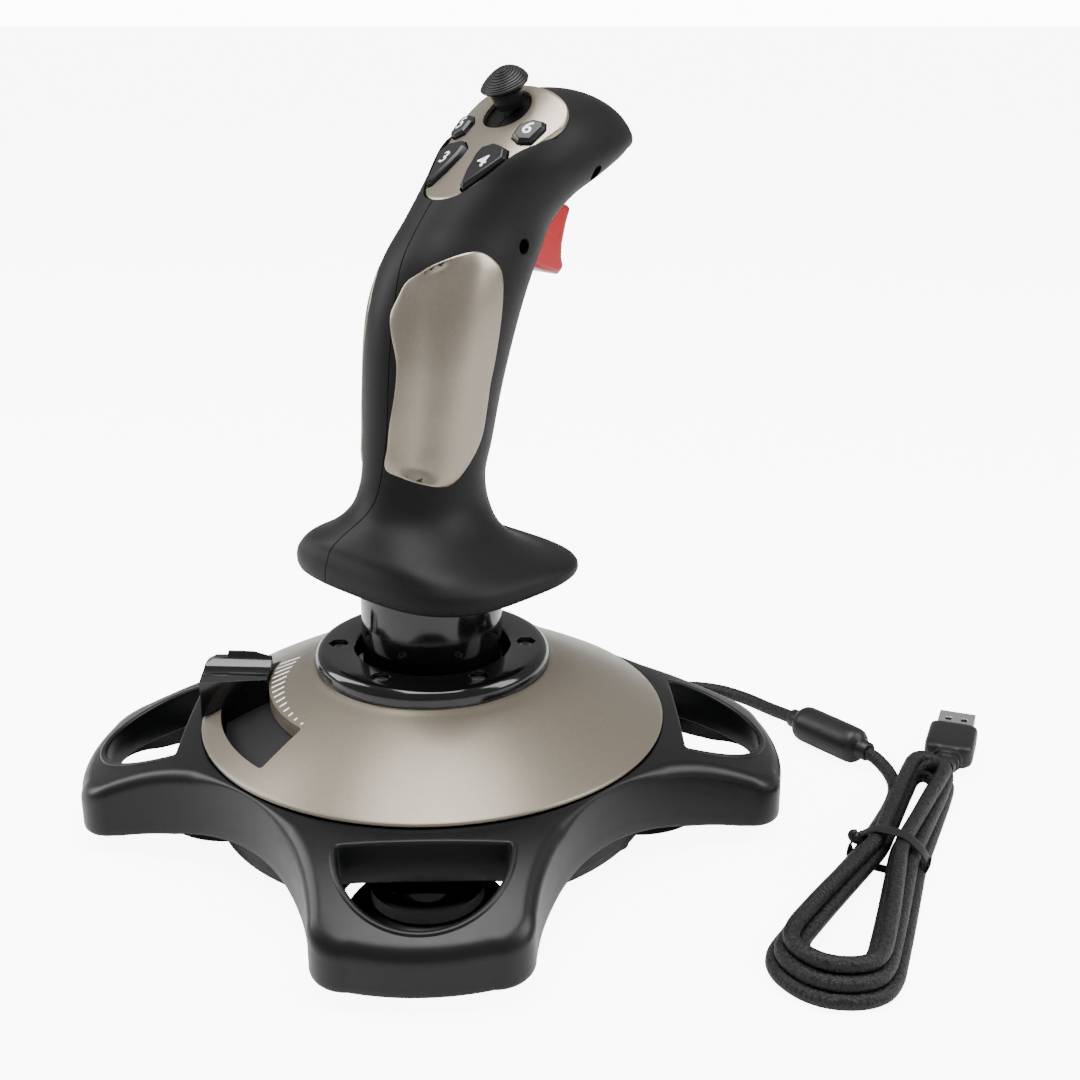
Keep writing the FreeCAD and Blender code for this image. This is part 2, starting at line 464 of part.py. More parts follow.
# side panel recess, both flanks (outline looked at square to the rear-quarter)
SP = [(16.5, 176.5), (22.5, 168.5), (24.0, 158.0), (21.0, 148.0), (18.3, 137.0), (16.5, 127.0), (12.0, 117.5), (3.0, 110.8), (-6.0, 109.4), (-16.5, 112.6), (-21.0, 118.5), (-20.4, 133.0), (-18.6, 146.0), (-18.6, 158.0), (-17.4, 166.0), (-11.5, 172.6), (-2.0, 177.0), (8.0, 178.6)]
HD = V(math.cos(rad(-42)), math.sin(rad(-42)), 0); HT = V(math.sin(rad(42)), math.cos(rad(42)), 0)
def side_prism(scale, right=True):
    cs, cz = 2.0, 144.0
    pts = [HT * ((s - cs) * scale + cs) + V(0, 0, (z - cz) * scale + cz) + HD * 2.0 for s, z in SP]
    b = Part.BSplineCurve(); b.interpolate(pts, PeriodicFlag=True)
    p = Part.Face(Part.Wire(b.toShape())).extrude(HD * 60)
    if not right: p = p.mirror(V(0, 0, 0), V(1, 0, 0)); p.translate(V(0, LEFT_SHIFT, 0))
    return p
recess = []
for right in (True, False):
    pr = side_prism(1.006, right)
    half = box(0.8, 60, -60, 60, 90, 190) if right else box(-60, -0.8, -60, 60, 90, 190)
    recess.append(pr.cut(G2).common(half))
    Sk = Sk.cut(recess[-1])
    pn = side_prism(1.0, right).common(G).cut(G2).common(box(1.0, 60, -60, 60, 90, 190) if right else box(-60, -1.0, -60, 60, 90, 190))
    if len(pn.Solids) > 1: pn = sorted(pn.Solids, key=lambda s: -s.Volume)[0]
    put("side_panel_right" if right else "side_panel_left", pn)
# trigger window in the front
Sk = Sk.cut(box(-7.0, 7.0, 30, 66, 161.5, 188.5))
# pin bosses
TP = V(0, 41.0, 183.0)
bz = cyl(3.6, 40, V(-20, TP.y, TP.z), V(1, 0, 0)).common(G3).cut(box(-6.9, 6.9, 0, 80, 150, 200))
Sk = Sk.fuse(bz)
Sk = Sk.cut(cyl(1.45, 21.0, V(-10.5, TP.y, TP.z), V(1, 0, 0)))
# fastener bores along X (countersunk recess each side)
FB = [(V(0, 52.0, 194.6)), (V(0, 22.6, 176.2)), (V(0, 4.0, 140.0))]
bosses = []
for c in FB:
    bosses.append(cyl(3.4, 60, V(-30, c.y, c.z), V(1, 0, 0)).common(G))
Sk = Sk.fuse(bosses)
for r_ in recess: Sk = Sk.cut(r_)
for c in FB:
    Sk = Sk.cut(cyl(1.3, 60, V(-30, c.y, c.z), V(1, 0, 0)))
    Sk = Sk.cut(cyl(2.3, 40, V(11.0, c.y, c.z), V(1, 0, 0)))
Sk = Sk.cut(pocket)
Sk = Sk.cut(box(-7.0, 7.0, 30, 66, 161.5, 188.5))
right_s = Sk.common(box(0, 80, -80, 120, 60, 260))
left_s = Sk.common(box(-80, 0, -80, 120, 60, 260))
for nm, s in (("grip_right_shell", right_s), ("grip_left_shell", left_s)):
    sol = sorted(s.Solids, key=lambda q: -q.Volume)
    print(nm, "pieces", [round(q.Volume, 1) for q in sol][:6])
    put(nm, sol[0])
put("grip_screws", group([cyl(2.2, 1.6, V(11.0, c.y, c.z), V(1, 0, 0)).fuse(cyl(1.3, 17.0, V(-6.0, c.y, c.z), V(1, 0, 0))).cut(box(12.0, 13, c.y - 1.5, c.y + 1.5, c.z - 0.3, c.z + 0.3)).cut(box(12.0, 13, c.y - 0.3, c.y + 0.3, c.z - 1.5, c.z + 1.5)) for c in FB]))
put("twist_bearing", bear.common(box(-30, 30, -30, 30, 84, 99.4)))
put("twist_sensor", cyl(7.0, 3.0, V(0, 2, 112.0)).fuse(box(-6, 6, -2, 6, 115.0, 116.4)))
bp = [pan(x * 0.62, (e - 7) * 0.62 + 5.0, -11.6) for x, e in full]
bb = Part.BSplineCurve(); bb.interpolate(bp, PeriodicFlag=True)
bpcb = Part.Face(Part.Wire(bb.toShape())).extrude(NP * 1.2)
put("button_board", bpcb)

# trigger
tri = [(35.5, 186.0), (45.0, 187.6), (56.5, 183.4), (54.4, 178.6), (52.6, 172.6), (52.4, 168.6), (53.4, 165.2), (50.6, 163.4), (44.5, 165.2), (38.6, 167.4), (36.8, 175.0)]
trg = poly_face([(0, y, z) for y, z in tri]).extrude(V(12.4, 0, 0)); trg.translate(V(-6.2, 0, 0))
trg = trg.cut(cyl(1.5, 30, V(-15, TP.y, TP.z), V(1, 0, 0)))
fe = [e for e in trg.Edges if len(e.Vertexes) == 2 and e.BoundBox.XLength < 0.01 and e.BoundBox.YMin > 50.0]
trg = safe_chamfer(trg, 2.2, fe)
put("trigger", trg)
put("trigger_pin", cyl(1.45, 20.8, V(-10.4, TP.y, TP.z), V(1, 0, 0)))
put("trigger_switch", box(-5, 5, 27.0, 33.5, 164.0, 174.0).fuse(box(-1.2, 1.2, 33.5, 34.3, 167.5, 170.0)))

# ---- cord -----------------------------------------------------------------------------
gl = revolve_rz([(2.25, 0), (5.6, 0), (5.6, 1.6), (3.9, 1.6), (3.9, 3.4), (5.6, 3.4), (5.6, 5.0), (4.3, 5.2), (4.0, 8.0), (4.2, 8.0), (4.2, 9.0), (3.8, 9.0), (3.5, 12.0), (3.7, 12.0), (3.7, 13.0), (3.2, 13.2), (2.9, 17.0), (2.25, 17.0)])
GLZ = 9.5
def place_axis(s, pos, ax):
    s = s.copy(); s.Placement = FreeCAD.Placement(pos, FreeCAD.Rotation(V(0, 0, 1), ax)); return s
gland = revolve_rz([(0, 0), (3.2, 0), (3.2, 10.2), (4.2, 10.4), (4.2, 12.0), (3.7, 12.2), (3.5, 15.2), (3.1, 15.4), (2.9, 18.4), (0, 18.4)])
gland = place_axis(gland, V(0, 61.6, GLZ), V(0, 1, 0))
put("cable_gland", gland)
TZ = CORD_D / 2 + 0.1
ROUTE_A = [(0, 80.0, GLZ), (0.3, 92.0, 7.6), (1.6, 104.5, 4.2), (6.4, 116.5, TZ + 0.1), (17.0, 124.4, TZ), (30.0, 126.0, TZ), (42.5, 122.8, 3.4), (56.0, 117.6, 6.3)]
ROUTE_B = [(89.6, 113.4, 6.3), (97.5, 111.0, 4.6), (104.4, 105.6, 3.2), (108.6, 97.8, 3.0), (111.4, 90.5, 3.4)]
def tube(route, d):
    P = [V(*p) for p in route]
    L = [(P[i + 1] - P[i]).Length for i in range(len(P) - 1)]
    cur = P[0]; edges = []; total = 0.0; radii = []
    for i in range(1, len(P) - 1):
        u = (P[i] - P[i - 1]).normalize(); w = (P[i + 1] - P[i]).normalize()
        th = math.acos(max(-1, min(1, u.dot(w))))
        t = 0.45 * min(L[i - 1], L[i]); r = t / math.tan(th / 2)
        a = P[i] - u * t; b = P[i] + w * t
        bis = (w - u).normalize(); cen_d = r / math.cos(th / 2)
        c = P[i] + bis * cen_d; m = c - bis * r
        edges.append(Part.LineSegment(cur, a).toShape()); total += (a - cur).Length
        edges.append(Part.Arc(a, m, b).toShape()); total += r * th
        radii.append(round(r, 1)); cur = b
    edges.append(Part.LineSegment(cur, P[-1]).toShape()); total += (P[-1] - cur).Length
    w = Part.Wire(edges)
    c = Part.Wire(Part.Circle(P[0], (P[1] - P[0]).normalize(), d / 2).toShape())
    s = w.makePipeShell([c], True, False)
    print("cord run: length %.1f radii %s volume %.1f expected %.1f valid %s" % (total, radii, s.Volume, math.pi * d * d / 4 * total, s.isValid()))
    return s, total
ta, la = tube(ROUTE_A, CORD_D)
tb, lb = tube(ROUTE_B, CORD_D)
# ferrite bead: barrel with two nipples
bd = V(*ROUTE_B[0]) - V(*ROUTE_A[-1]); bl = bd.Length
bead = revolve_rz([(0, 0), (3.1, 0), (3.4, 3.6), (5.0, 4.4), (6.1, 6.0), (6.2, bl / 2), (6.1, bl - 6.0), (5.0, bl - 4.4), (3.4, bl - 3.6), (3.1, bl), (0, bl)])
bead = place_axis(bead, V(*ROUTE_A[-1]), bd)
put("ferrite_bead", bead)
ta = sorted(ta.cut(bead).cut(gland).Solids, key=lambda q: -q.Volume)[0]; put("cord_lead", ta)
tb = sorted(tb.cut(bead).Solids, key=lambda q: -q.Volume)[0]; put("cord_link", tb)
# hank: one closed solid, the outer shape of the folded loops
HK = [(111.4, 90.5), (105.5, 105.0), (106.4, 117.6), (112.5, 122.6), (119.6, 119.6), (126.0, 104.0), (134.5, 84.0), (145.0, 58.0), (155.0, 30.0), (161.5, 8.0), (160.0, -5.0), (151.0, -13.5), (138.5, -12.5), (129.0, -3.0), (125.0, 12.0), (122.0, 30.0), (118.5, 52.0), (115.0, 72.0)]
b = Part.BSplineCurve(); b.interpolate([V(x, y, 0.3) for x, y in HK], PeriodicFlag=True)
hank = Part.Face(Part.Wire(b.toShape())).extrude(V(0, 0, 12.2)).cut(tb)
hank = sorted(hank.Solids, key=lambda q: -q.Volume)[0]
put("cord_hank", hank)
# plug
PA = V(113.0, 121.6, 6.2); PB = V(98.4, 157.0, 6.2)
pd = (PB - PA).normalize(); ps = pd.cross(V(0, 0, 1)).normalize()
def pbox(l0, l1, w, z0, z1):
    q = [PA + pd * l0 - ps * (w / 2), PA + pd * l1 - ps * (w / 2), PA + pd * l1 + ps * (w / 2), PA + pd * l0 + ps * (w / 2)]
    return Part.Face(Part.makePolygon([V(p.x, p.y, z0) for p in q] + [V(q[0].x, q[0].y, z0)])).extrude(V(0, 0, z1 - z0))
pt = (PB - PA).Length
body = pbox(4.0, pt - 12.4, 16.0, 1.8, 10.6)
body = safe_fillet(body, 2.2, [e for e in body.Edges if e.BoundBox.ZLength > 5])
relief = cyl(3.4, 5.0, PA + pd * 0.2, pd)
body = body.fuse(relief)
ov = body.common(hank)
if ov.Volume > 1e-3: body = body.cut(hank)
body = sorted(body.Solids, key=lambda s: -s.Volume)[0]
put("usb_plug_body", body)
shell = pbox(pt - 12.4, pt, 12.0, 3.95, 8.45).cut(pbox(pt - 11.9, pt + 1, 11.3, 4.3, 8.1))
shell = shell.cut(pbox(pt - 7.2, pt - 4.8, 2.0, 8.0, 9.0).translated(ps * 2.6)).cut(pbox(pt - 7.2, pt - 4.8, 2.0, 8.0, 9.0).translated(ps * -2.6))
put("usb_plug_shell", shell)
put("usb_plug_tongue", pbox(pt - 11.9, pt - 0.6, 11.0, 4.45, 6.2))

for r in REPORT: print("%-20s solids %d vol %10.1f valid %s" % r)
print("hat pivot", HP, "button axes", {k: (round(v.x, 4), round(v.y, 4), round(v.z, 4)) for k, v in BAX.items()})
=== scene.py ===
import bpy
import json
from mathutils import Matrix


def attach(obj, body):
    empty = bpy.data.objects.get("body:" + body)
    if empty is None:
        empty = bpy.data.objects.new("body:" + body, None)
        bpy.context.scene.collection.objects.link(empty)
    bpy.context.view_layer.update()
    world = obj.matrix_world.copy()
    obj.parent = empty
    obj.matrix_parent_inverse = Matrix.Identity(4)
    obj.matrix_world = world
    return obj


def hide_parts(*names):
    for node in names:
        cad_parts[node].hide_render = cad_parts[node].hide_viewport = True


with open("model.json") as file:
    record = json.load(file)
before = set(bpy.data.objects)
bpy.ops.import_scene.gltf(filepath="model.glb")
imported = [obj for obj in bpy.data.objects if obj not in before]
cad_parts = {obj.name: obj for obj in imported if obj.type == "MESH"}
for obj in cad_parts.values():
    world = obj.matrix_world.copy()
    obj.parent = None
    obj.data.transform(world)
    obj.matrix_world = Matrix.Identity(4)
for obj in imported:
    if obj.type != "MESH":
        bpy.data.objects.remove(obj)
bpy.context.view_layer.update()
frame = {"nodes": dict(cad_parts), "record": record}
import bpy, bmesh, math, json
import numpy as np
from mathutils import Vector, Matrix

MM = 0.001
NODES = frame["nodes"]

# ---------------------------------------------------------------- camera
cam_data = bpy.data.cameras.new("camera")
cam_data.lens = 49.74
cam_data.sensor_width = 36.0
cam_data.clip_start = 0.01
cam_data.clip_end = 20.0
cam = bpy.data.objects.new("camera", cam_data)
bpy.context.scene.collection.objects.link(cam)
PITCH, AZ = 0.343, math.radians(43.281)
look = Vector((-math.sin(AZ) * math.cos(PITCH), math.cos(AZ) * math.cos(PITCH), -math.sin(PITCH)))
cam.location = Vector((0.31472, -0.28575, 0.24038))
cam.rotation_euler = look.to_track_quat("-Z", "Y").to_euler()
bpy.context.scene.camera = cam

# ---------------------------------------------------------------- cord
CORD_D = 4.5
ROUTE_A = [(0, 80.0, 9.5), (0.3, 92.0, 7.6), (1.6, 104.5, 4.2), (6.4, 116.5, 2.45), (17.0, 124.4, 2.35), (30.0, 126.0, 2.35), (42.5, 122.8, 3.4), (56.0, 117.6, 6.3)]
ROUTE_B = [(89.6, 113.4, 6.3), (97.5, 111.0, 4.6), (104.4, 105.6, 3.2), (108.6, 97.8, 3.0)]
PA = np.array([113.0, 121.6, 6.2]); PB = np.array([98.4, 157.0, 6.2])
PD = (PB - PA) / np.linalg.norm(PB - PA)
PS = np.array([PD[1], -PD[0], 0.0])
HT = np.array([112.5, 112.0]); HB = np.array([148.0, -6.0])
HA = (HB - HT) / np.linalg.norm(HB - HT); HPERP = np.array([-HA[1], HA[0]])
HLEN = float(np.linalg.norm(HB - HT))

def hpt(u, v, z):
    p = HT + HA * u + HPERP * v
    return (float(p[0]), float(p[1]), float(z))

def run_pts(vt, zt, vm, zm, vb, zb, down=True, us=(6, 18, 30, 42, 51, 60, 72, 84, 95)):
    pts = []
    for u in us:
        v = np.interp(u, [0, 12, 51, 80, 100], [vt, vt + (vm - vt) * 0.3, vm, vm + (vb - vm) * 0.62, vb])
        z = np.interp(u, [0, 20, 51, 100], [zt, zt + (zm - zt) * 0.6, zm, zb])
        pts.append(hpt(u, v, z))
    return pts if down else pts[::-1]

def bottom(w, z, ua, side=1, zr=0.0):
    # open fold at the lower end, w = half width, ua = how far down it reaches
    pts = []
    for k, a in enumerate((-72, -40, 0, 40, 72)):
        pts.append(hpt(ua - w + w * 1.08 * math.cos(math.radians(a)), side * w * 1.06 * math.sin(math.radians(a)), z + zr * k / 4.0))
    return pts

def top_fold(w, z0, z1, ua):
    pts = []
    for k, a in enumerate((62, 0, -62)):
        pts.append(hpt(ua + w - w * 1.12 * math.cos(math.radians(a)), w * 1.12 * math.sin(math.radians(a)), z0 + (z1 - z0) * k / 2.0))
    return pts

L1, L2, L3 = 2.4, 6.3, 10.3
hank = []
T = [  # (v top down, v top up, v tie, bottom half width, layer, reach)
    (-6.8, 6.4, 9.0, 16.6, L1, 121.5),
    (-5.4, 4.6, 4.5, 12.1, L1, 117.0),
    (-5.0, 6.2, 6.75, 14.4, L2, 119.5),
    (-6.0, 5.6, 3.4, 12.6, L3, 117.0),
    (-4.8, 3.4, 2.25, 9.9, L2, 113.5),
]
F = [(5.9, L1, L1, -8.5), (4.9, L1 + 0.4, 6.6, -2.6), (5.6, 7.0, 10.8, -6.5), (5.2, 10.6, 7.0, -4.0)]
for k, (vd, vu, vm, wb, z, ua) in enumerate(T):
    zt = z if z < 5 else z + 0.4
    us = (22, 30, 42, 51, 60, 72, 84, 95) if k == 0 else (8, 18, 30, 42, 51, 60, 72, 84, 93)
    hank += run_pts(vd, zt, -vm, z, -wb * 0.93, z, True, us)
    hank += bottom(wb, z, ua)
    up = run_pts(vu, zt, vm, z, wb * 0.93, z, False, (8, 18, 30, 42, 51, 60, 72, 84, 93))
    hank += up
    if k < 4:
        hank += top_fold(*F[k])
END = [tuple(PA + PD * -4.0), tuple(PA + PD * 2.5)]
CORD_PTS = ROUTE_A + [(72.8, 115.5, 6.3)] + ROUTE_B + hank + END

def curve_obj(name, pts, d, res=12):
    cu = bpy.data.curves.new(name, "CURVE")
    cu.dimensions = "3D"
    cu.bevel_depth = d / 2 * MM
    cu.bevel_resolution = 6
    cu.resolution_u = res
    cu.use_fill_caps = True
    sp = cu.splines.new("NURBS")
    sp.points.add(len(pts) - 1)
    for p, q in zip(sp.points, pts):
        p.co = (q[0] * MM, q[1] * MM, q[2] * MM, 1.0)
    sp.order_u = 3
    sp.use_endpoint_u = True
    ob = bpy.data.objects.new(name, cu)
    bpy.context.scene.collection.objects.link(ob)
    return ob

cord = curve_obj("braided_cord", CORD_PTS, CORD_D, 10)

# length of the drawn curve, from the evaluated mesh-free sampling of the same spline
def bspline_len(pts, order=3, n=12000):
    P = np.array(pts, float); m = len(P); p = order - 1
    kn = np.concatenate([np.zeros(p), np.linspace(0, 1, m - p + 1), np.ones(p)])
    t = np.linspace(0, 1 - 1e-9, n)
    N0 = np.zeros((n, m + p))
    for i in range(m + p):
        N0[:, i] = (t >= kn[i]) & (t < kn[i + 1])
    for q in range(1, p + 1):
        N1 = np.zeros((n, m + p - q))
        for i in range(m + p - q):
            a = kn[i + q] - kn[i]; b = kn[i + q + 1] - kn[i + 1]
            if a > 0: N1[:, i] += (t - kn[i]) / a * N0[:, i]
            if b > 0: N1[:, i] += (kn[i + q + 1] - t) / b * N0[:, i + 1]
        N0 = N1
    C = N0[:, :m] @ P
    return float(np.linalg.norm(np.diff(C, axis=0), axis=1).sum())
CORD_LEN = bspline_len(CORD_PTS) * MM

# ---------------------------------------------------------------- materials
def new_mat(name):
    m = bpy.data.materials.new(name); m.use_nodes = True
    nt = m.node_tree
    for n in list(nt.nodes): nt.nodes.remove(n)
    out = nt.nodes.new("ShaderNodeOutputMaterial")
    bs = nt.nodes.new("ShaderNodeBsdfPrincipled")
    nt.links.new(bs.outputs[0], out.inputs[0])
    return m, nt, bs

def ramp(nt, fac, a, b):
    r = nt.nodes.new("ShaderNodeMapRange"); r.inputs[3].default_value = a; r.inputs[4].default_value = b
    nt.links.new(fac, r.inputs[0]); return r.outputs[0]

def noise(nt, vec, scale, detail=4.0, rough=0.55):
    n = nt.nodes.new("ShaderNodeTexNoise"); n.inputs["Scale"].default_value = scale
    n.inputs["Detail"].default_value = detail; n.inputs["Roughness"].default_value = rough
    nt.links.new(vec, n.inputs["Vector"]); return n.outputs[0]

def surface(name, col, rough=0.4, metallic=0.0, spec=0.5, var=0.08, rvar=0.06, grain=900.0, bump=0.12, dist=0.00004,
            coat=0.0, coat_rough=0.08, edge=0.0, flake=0.0, emission=None, wear=0.0, dust=0.0, transmission=0.0, sheen=0.0):
    m, nt, bs = new_mat(name)
    tc = nt.nodes.new("ShaderNodeTexCoord"); vec = tc.outputs["Object"]
    big = noise(nt, vec, 22.0, 3.0); mid = noise(nt, vec, 160.0, 5.0, 0.6); fine = noise(nt, vec, grain, 6.0, 0.6)
    mix = nt.nodes.new("ShaderNodeMix"); mix.data_type = "RGBA"
    lo = [c * (1 - var) for c in col]; hi = [min(1.0, c * (1 + var)) for c in col]
    mix.inputs[6].default_value = (*lo, 1); mix.inputs[7].default_value = (*hi, 1)
    add = nt.nodes.new("ShaderNodeMath"); add.operation = "ADD"; nt.links.new(big, add.inputs[0]); nt.links.new(fine, add.inputs[1])
    half = nt.nodes.new("ShaderNodeMath"); half.operation = "MULTIPLY"; half.inputs[1].default_value = 0.5
    nt.links.new(add.outputs[0], half.inputs[0]); nt.links.new(half.outputs[0], mix.inputs[0])
    colour = mix.outputs[2]
    if flake > 0:
        vo = nt.nodes.new("ShaderNodeTexVoronoi"); vo.inputs["Scale"].default_value = 5200.0
        nt.links.new(vec, vo.inputs["Vector"])
        m2 = nt.nodes.new("ShaderNodeMix"); m2.data_type = "RGBA"; m2.blend_type = "MULTIPLY"
        m2.inputs[0].default_value = flake
        sep = nt.nodes.new("ShaderNodeSeparateColor"); nt.links.new(vo.outputs["Color"], sep.inputs[0])
        g = ramp(nt, sep.outputs[0], 0.72, 1.25)
        cmb = nt.nodes.new("ShaderNodeCombineColor")
        for i in range(3): nt.links.new(g, cmb.inputs[i])
        nt.links.new(colour, m2.inputs[6]); nt.links.new(cmb.outputs[0], m2.inputs[7])
        colour = m2.outputs[2]
    nt.links.new(colour, bs.inputs["Base Color"])
    nt.links.new(ramp(nt, mid, max(0.02, rough - rvar), rough + rvar), bs.inputs["Roughness"])
    bs.inputs["Metallic"].default_value = metallic
    bs.inputs["Specular IOR Level"].default_value = spec
    bs.inputs["Coat Weight"].default_value = coat
    bs.inputs["Coat Roughness"].default_value = coat_rough
    if sheen:
        bs.inputs["Sheen Weight"].default_value = sheen
    if transmission:
        bs.inputs["Transmission Weight"].default_value = transmission
    bp = nt.nodes.new("ShaderNodeBump"); bp.inputs["Strength"].default_value = bump; bp.inputs["Distance"].default_value = dist
    nt.links.new(fine, bp.inputs["Height"])
    if edge > 0:
        bv = nt.nodes.new("ShaderNodeBevel"); bv.samples = 4; bv.inputs["Radius"].default_value = edge * MM
        nt.links.new(bv.outputs[0], bp.inputs["Normal"])
    nt.links.new(bp.outputs[0], bs.inputs["Normal"])
    return m

def braid(name, col):
    m, nt, bs = new_mat(name)
    tc = nt.nodes.new("ShaderNodeTexCoord"); vec = tc.outputs["Object"]
    vo = nt.nodes.new("ShaderNodeTexVoronoi"); vo.inputs["Scale"].default_value = 1150.0
    nt.links.new(vec, vo.inputs["Vector"])
    fine = noise(nt, vec, 2600.0, 4.0)
    big = noise(nt, vec, 60.0, 3.0)
    # painted highlight and shade: braid strand crowns (Voronoi cell centres, raised by the bump) are painted 2.1x
    # lighter, crevices between strands painted 0.35x darker
    mix = nt.nodes.new("ShaderNodeMix"); mix.data_type = "RGBA"
    mix.inputs[6].default_value = (col[0] * 2.1, col[1] * 2.1, col[2] * 2.1, 1); mix.inputs[7].default_value = (col[0] * 0.35, col[1] * 0.35, col[2] * 0.35, 1)
    f = ramp(nt, vo.outputs["Distance"], 0.0, 1.35)
    nt.links.new(f, mix.inputs[0]); nt.links.new(mix.outputs[2], bs.inputs["Base Color"])
    nt.links.new(ramp(nt, big, 0.42, 0.62), bs.inputs["Roughness"])
    add = nt.nodes.new("ShaderNodeMath"); add.operation = "MULTIPLY_ADD"; add.inputs[1].default_value = 0.3
    nt.links.new(fine, add.inputs[0])
    inv = nt.nodes.new("ShaderNodeMath"); inv.operation = "SUBTRACT"; inv.inputs[0].default_value = 1.0; nt.links.new(vo.outputs["Distance"], inv.inputs[1])
    nt.links.new(inv.outputs[0], add.inputs[2])
    bp = nt.nodes.new("ShaderNodeBump"); bp.inputs["Strength"].default_value = 0.85; bp.inputs["Distance"].default_value = 0.00035
    nt.links.new(add.outputs[0], bp.inputs["Height"]); nt.links.new(bp.outputs[0], bs.inputs["Normal"])
    bs.inputs["Specular IOR Level"].default_value = 0.22
    return m

MAT = {
    "base_black": surface("satin_base_black", (0.0040, 0.0040, 0.0045), 0.34, spec=0.20, var=0.10, rvar=0.05, grain=2400, bump=0.10, dist=0.00003, edge=0.35),
    "cover_black": surface("matte_cover_black", (0.006, 0.006, 0.0065), 0.5, spec=0.2, var=0.12, grain=2000, bump=0.15),
    "cup_rubber": surface("cup_rubber", (0.006, 0.006, 0.0065), 0.3, spec=0.25, var=0.15, rvar=0.1, grain=700, bump=0.06),
    "gloss_black": surface("gloss_black", (0.003, 0.003, 0.0034), 0.12, spec=0.34, var=0.1, rvar=0.03, grain=500, bump=0.02, coat=0.12, coat_rough=0.05, edge=0.25),
    "dome_champagne": surface("dome_champagne", (0.150, 0.130, 0.100), 0.36, metallic=0.55, spec=0.35, var=0.03, rvar=0.03, grain=3000, bump=0.05, dist=0.00002, coat=0.1, coat_rough=0.2, flake=0.35, edge=0.2),
    "panel_champagne": surface("panel_champagne", (0.225, 0.197, 0.156), 0.30, metallic=0.75, spec=0.4, var=0.03, rvar=0.03, grain=3000, bump=0.05, dist=0.00002, coat=0.12, coat_rough=0.18, flake=0.3, edge=0.15),
    "soft_black": surface("soft_touch_black", (0.0042, 0.0042, 0.0046), 0.5, spec=0.13, var=0.08, rvar=0.05, grain=2600, bump=0.16, dist=0.00003, edge=0.2),
    "key_black": surface("key_black", (0.006, 0.006, 0.0075), 0.28, spec=0.28, var=0.1, rvar=0.05, grain=1800, bump=0.08, edge=0.12),
    "hat_rubber": surface("hat_rubber", (0.004, 0.004, 0.0045), 0.42, spec=0.25, var=0.12, rvar=0.08, grain=1500, bump=0.12),
    "trigger_red": surface("trigger_red", (0.36, 0.004, 0.007), 0.24, spec=0.35, var=0.08, rvar=0.05, grain=900, bump=0.04, coat=0.15, coat_rough=0.1, edge=0.5),
    "steel": surface("zinc_steel", (0.55, 0.55, 0.54), 0.3, metallic=1.0, var=0.08, rvar=0.08, grain=1200, bump=0.1),
    "board_green": surface("board_green", (0.02, 0.10, 0.04), 0.4, var=0.15, grain=900, bump=0.1),
    "acetal_white": surface("natural_acetal", (0.70, 0.70, 0.66), 0.4, var=0.05, grain=900, bump=0.06),
    "sensor_grey": surface("sensor_grey", (0.10, 0.10, 0.11), 0.45, var=0.1, grain=900, bump=0.08),
    "cord_braid": braid("black_braid", (0.0055, 0.0055, 0.006)),
    "moulded_black": surface("moulded_black", (0.005, 0.005, 0.0055), 0.42, spec=0.25, var=0.1, rvar=0.07, grain=1500, bump=0.12, edge=0.3),
    "plug_metal": surface("nickel_shell", (0.62, 0.62, 0.61), 0.22, metallic=1.0, var=0.06, rvar=0.08, grain=1200, bump=0.05, edge=0.2),
    "mark_white": surface("mark_white", (0.75, 0.75, 0.73), 0.45, var=0.05, grain=1500, bump=0.04),
    "dark_gap": surface("dark_gap", (0.004, 0.004, 0.004), 0.6, var=0.2, grain=900, bump=0.05),
}
for sub in frame["record"].get("subparts", []):
    n = sub.get("node"); s = sub.get("material_slot")
    if n in NODES and s in MAT:
        ob = NODES[n]; ob.data.materials.clear(); ob.data.materials.append(MAT[s])
for n in ("hat_seat", "hat_gimbal", "hat_stalk"):
    if n in NODES: NODES[n].data.materials.clear(); NODES[n].data.materials.append(MAT["cover_black"])
cord.data.materials.append(MAT["cord_braid"])

# ---------------------------------------------------------------- mesh helpers
def mesh_obj(name, verts, faces, mat, angle=32.0, body="base", slot=None):
    me = bpy.data.meshes.new(name)
    me.from_pydata([tuple(float(c) * MM for c in v) for v in verts], [], [tuple(int(i) for i in f) for f in faces])
    me.validate(); me.update()
    ob = bpy.data.objects.new(name, me)
    bpy.context.scene.collection.objects.link(ob)
    if mat: me.materials.append(MAT[mat])
    finish_mesh(ob, angle)
    if body:
        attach(ob, body)
    return ob

def finish_mesh(ob, angle=32.0, recalc=True):
    bm = bmesh.new(); bm.from_mesh(ob.data)
    if recalc: bmesh.ops.recalc_face_normals(bm, faces=bm.faces)
    for f in bm.faces: f.smooth = True
    lim = math.radians(angle)
    for e in bm.edges:
        e.smooth = not (len(e.link_faces) == 2 and e.calc_face_angle(0.0) > lim)
    bm.to_mesh(ob.data); bm.free(); ob.data.update()

def grid_faces(rows, cols, close_u=False, close_v=True, base=0):
    fs = []
    ru = rows if close_u else rows - 1
    cv = cols if close_v else cols - 1
    for i in range(ru):
        for j in range(cv):
            a = base + i * cols + j; b = base + i * cols + (j + 1) % cols
            c = base + ((i + 1) % rows) * cols + (j + 1) % cols; d = base + ((i + 1) % rows) * cols + j
            fs.append((a, b, c, d))
    return fs

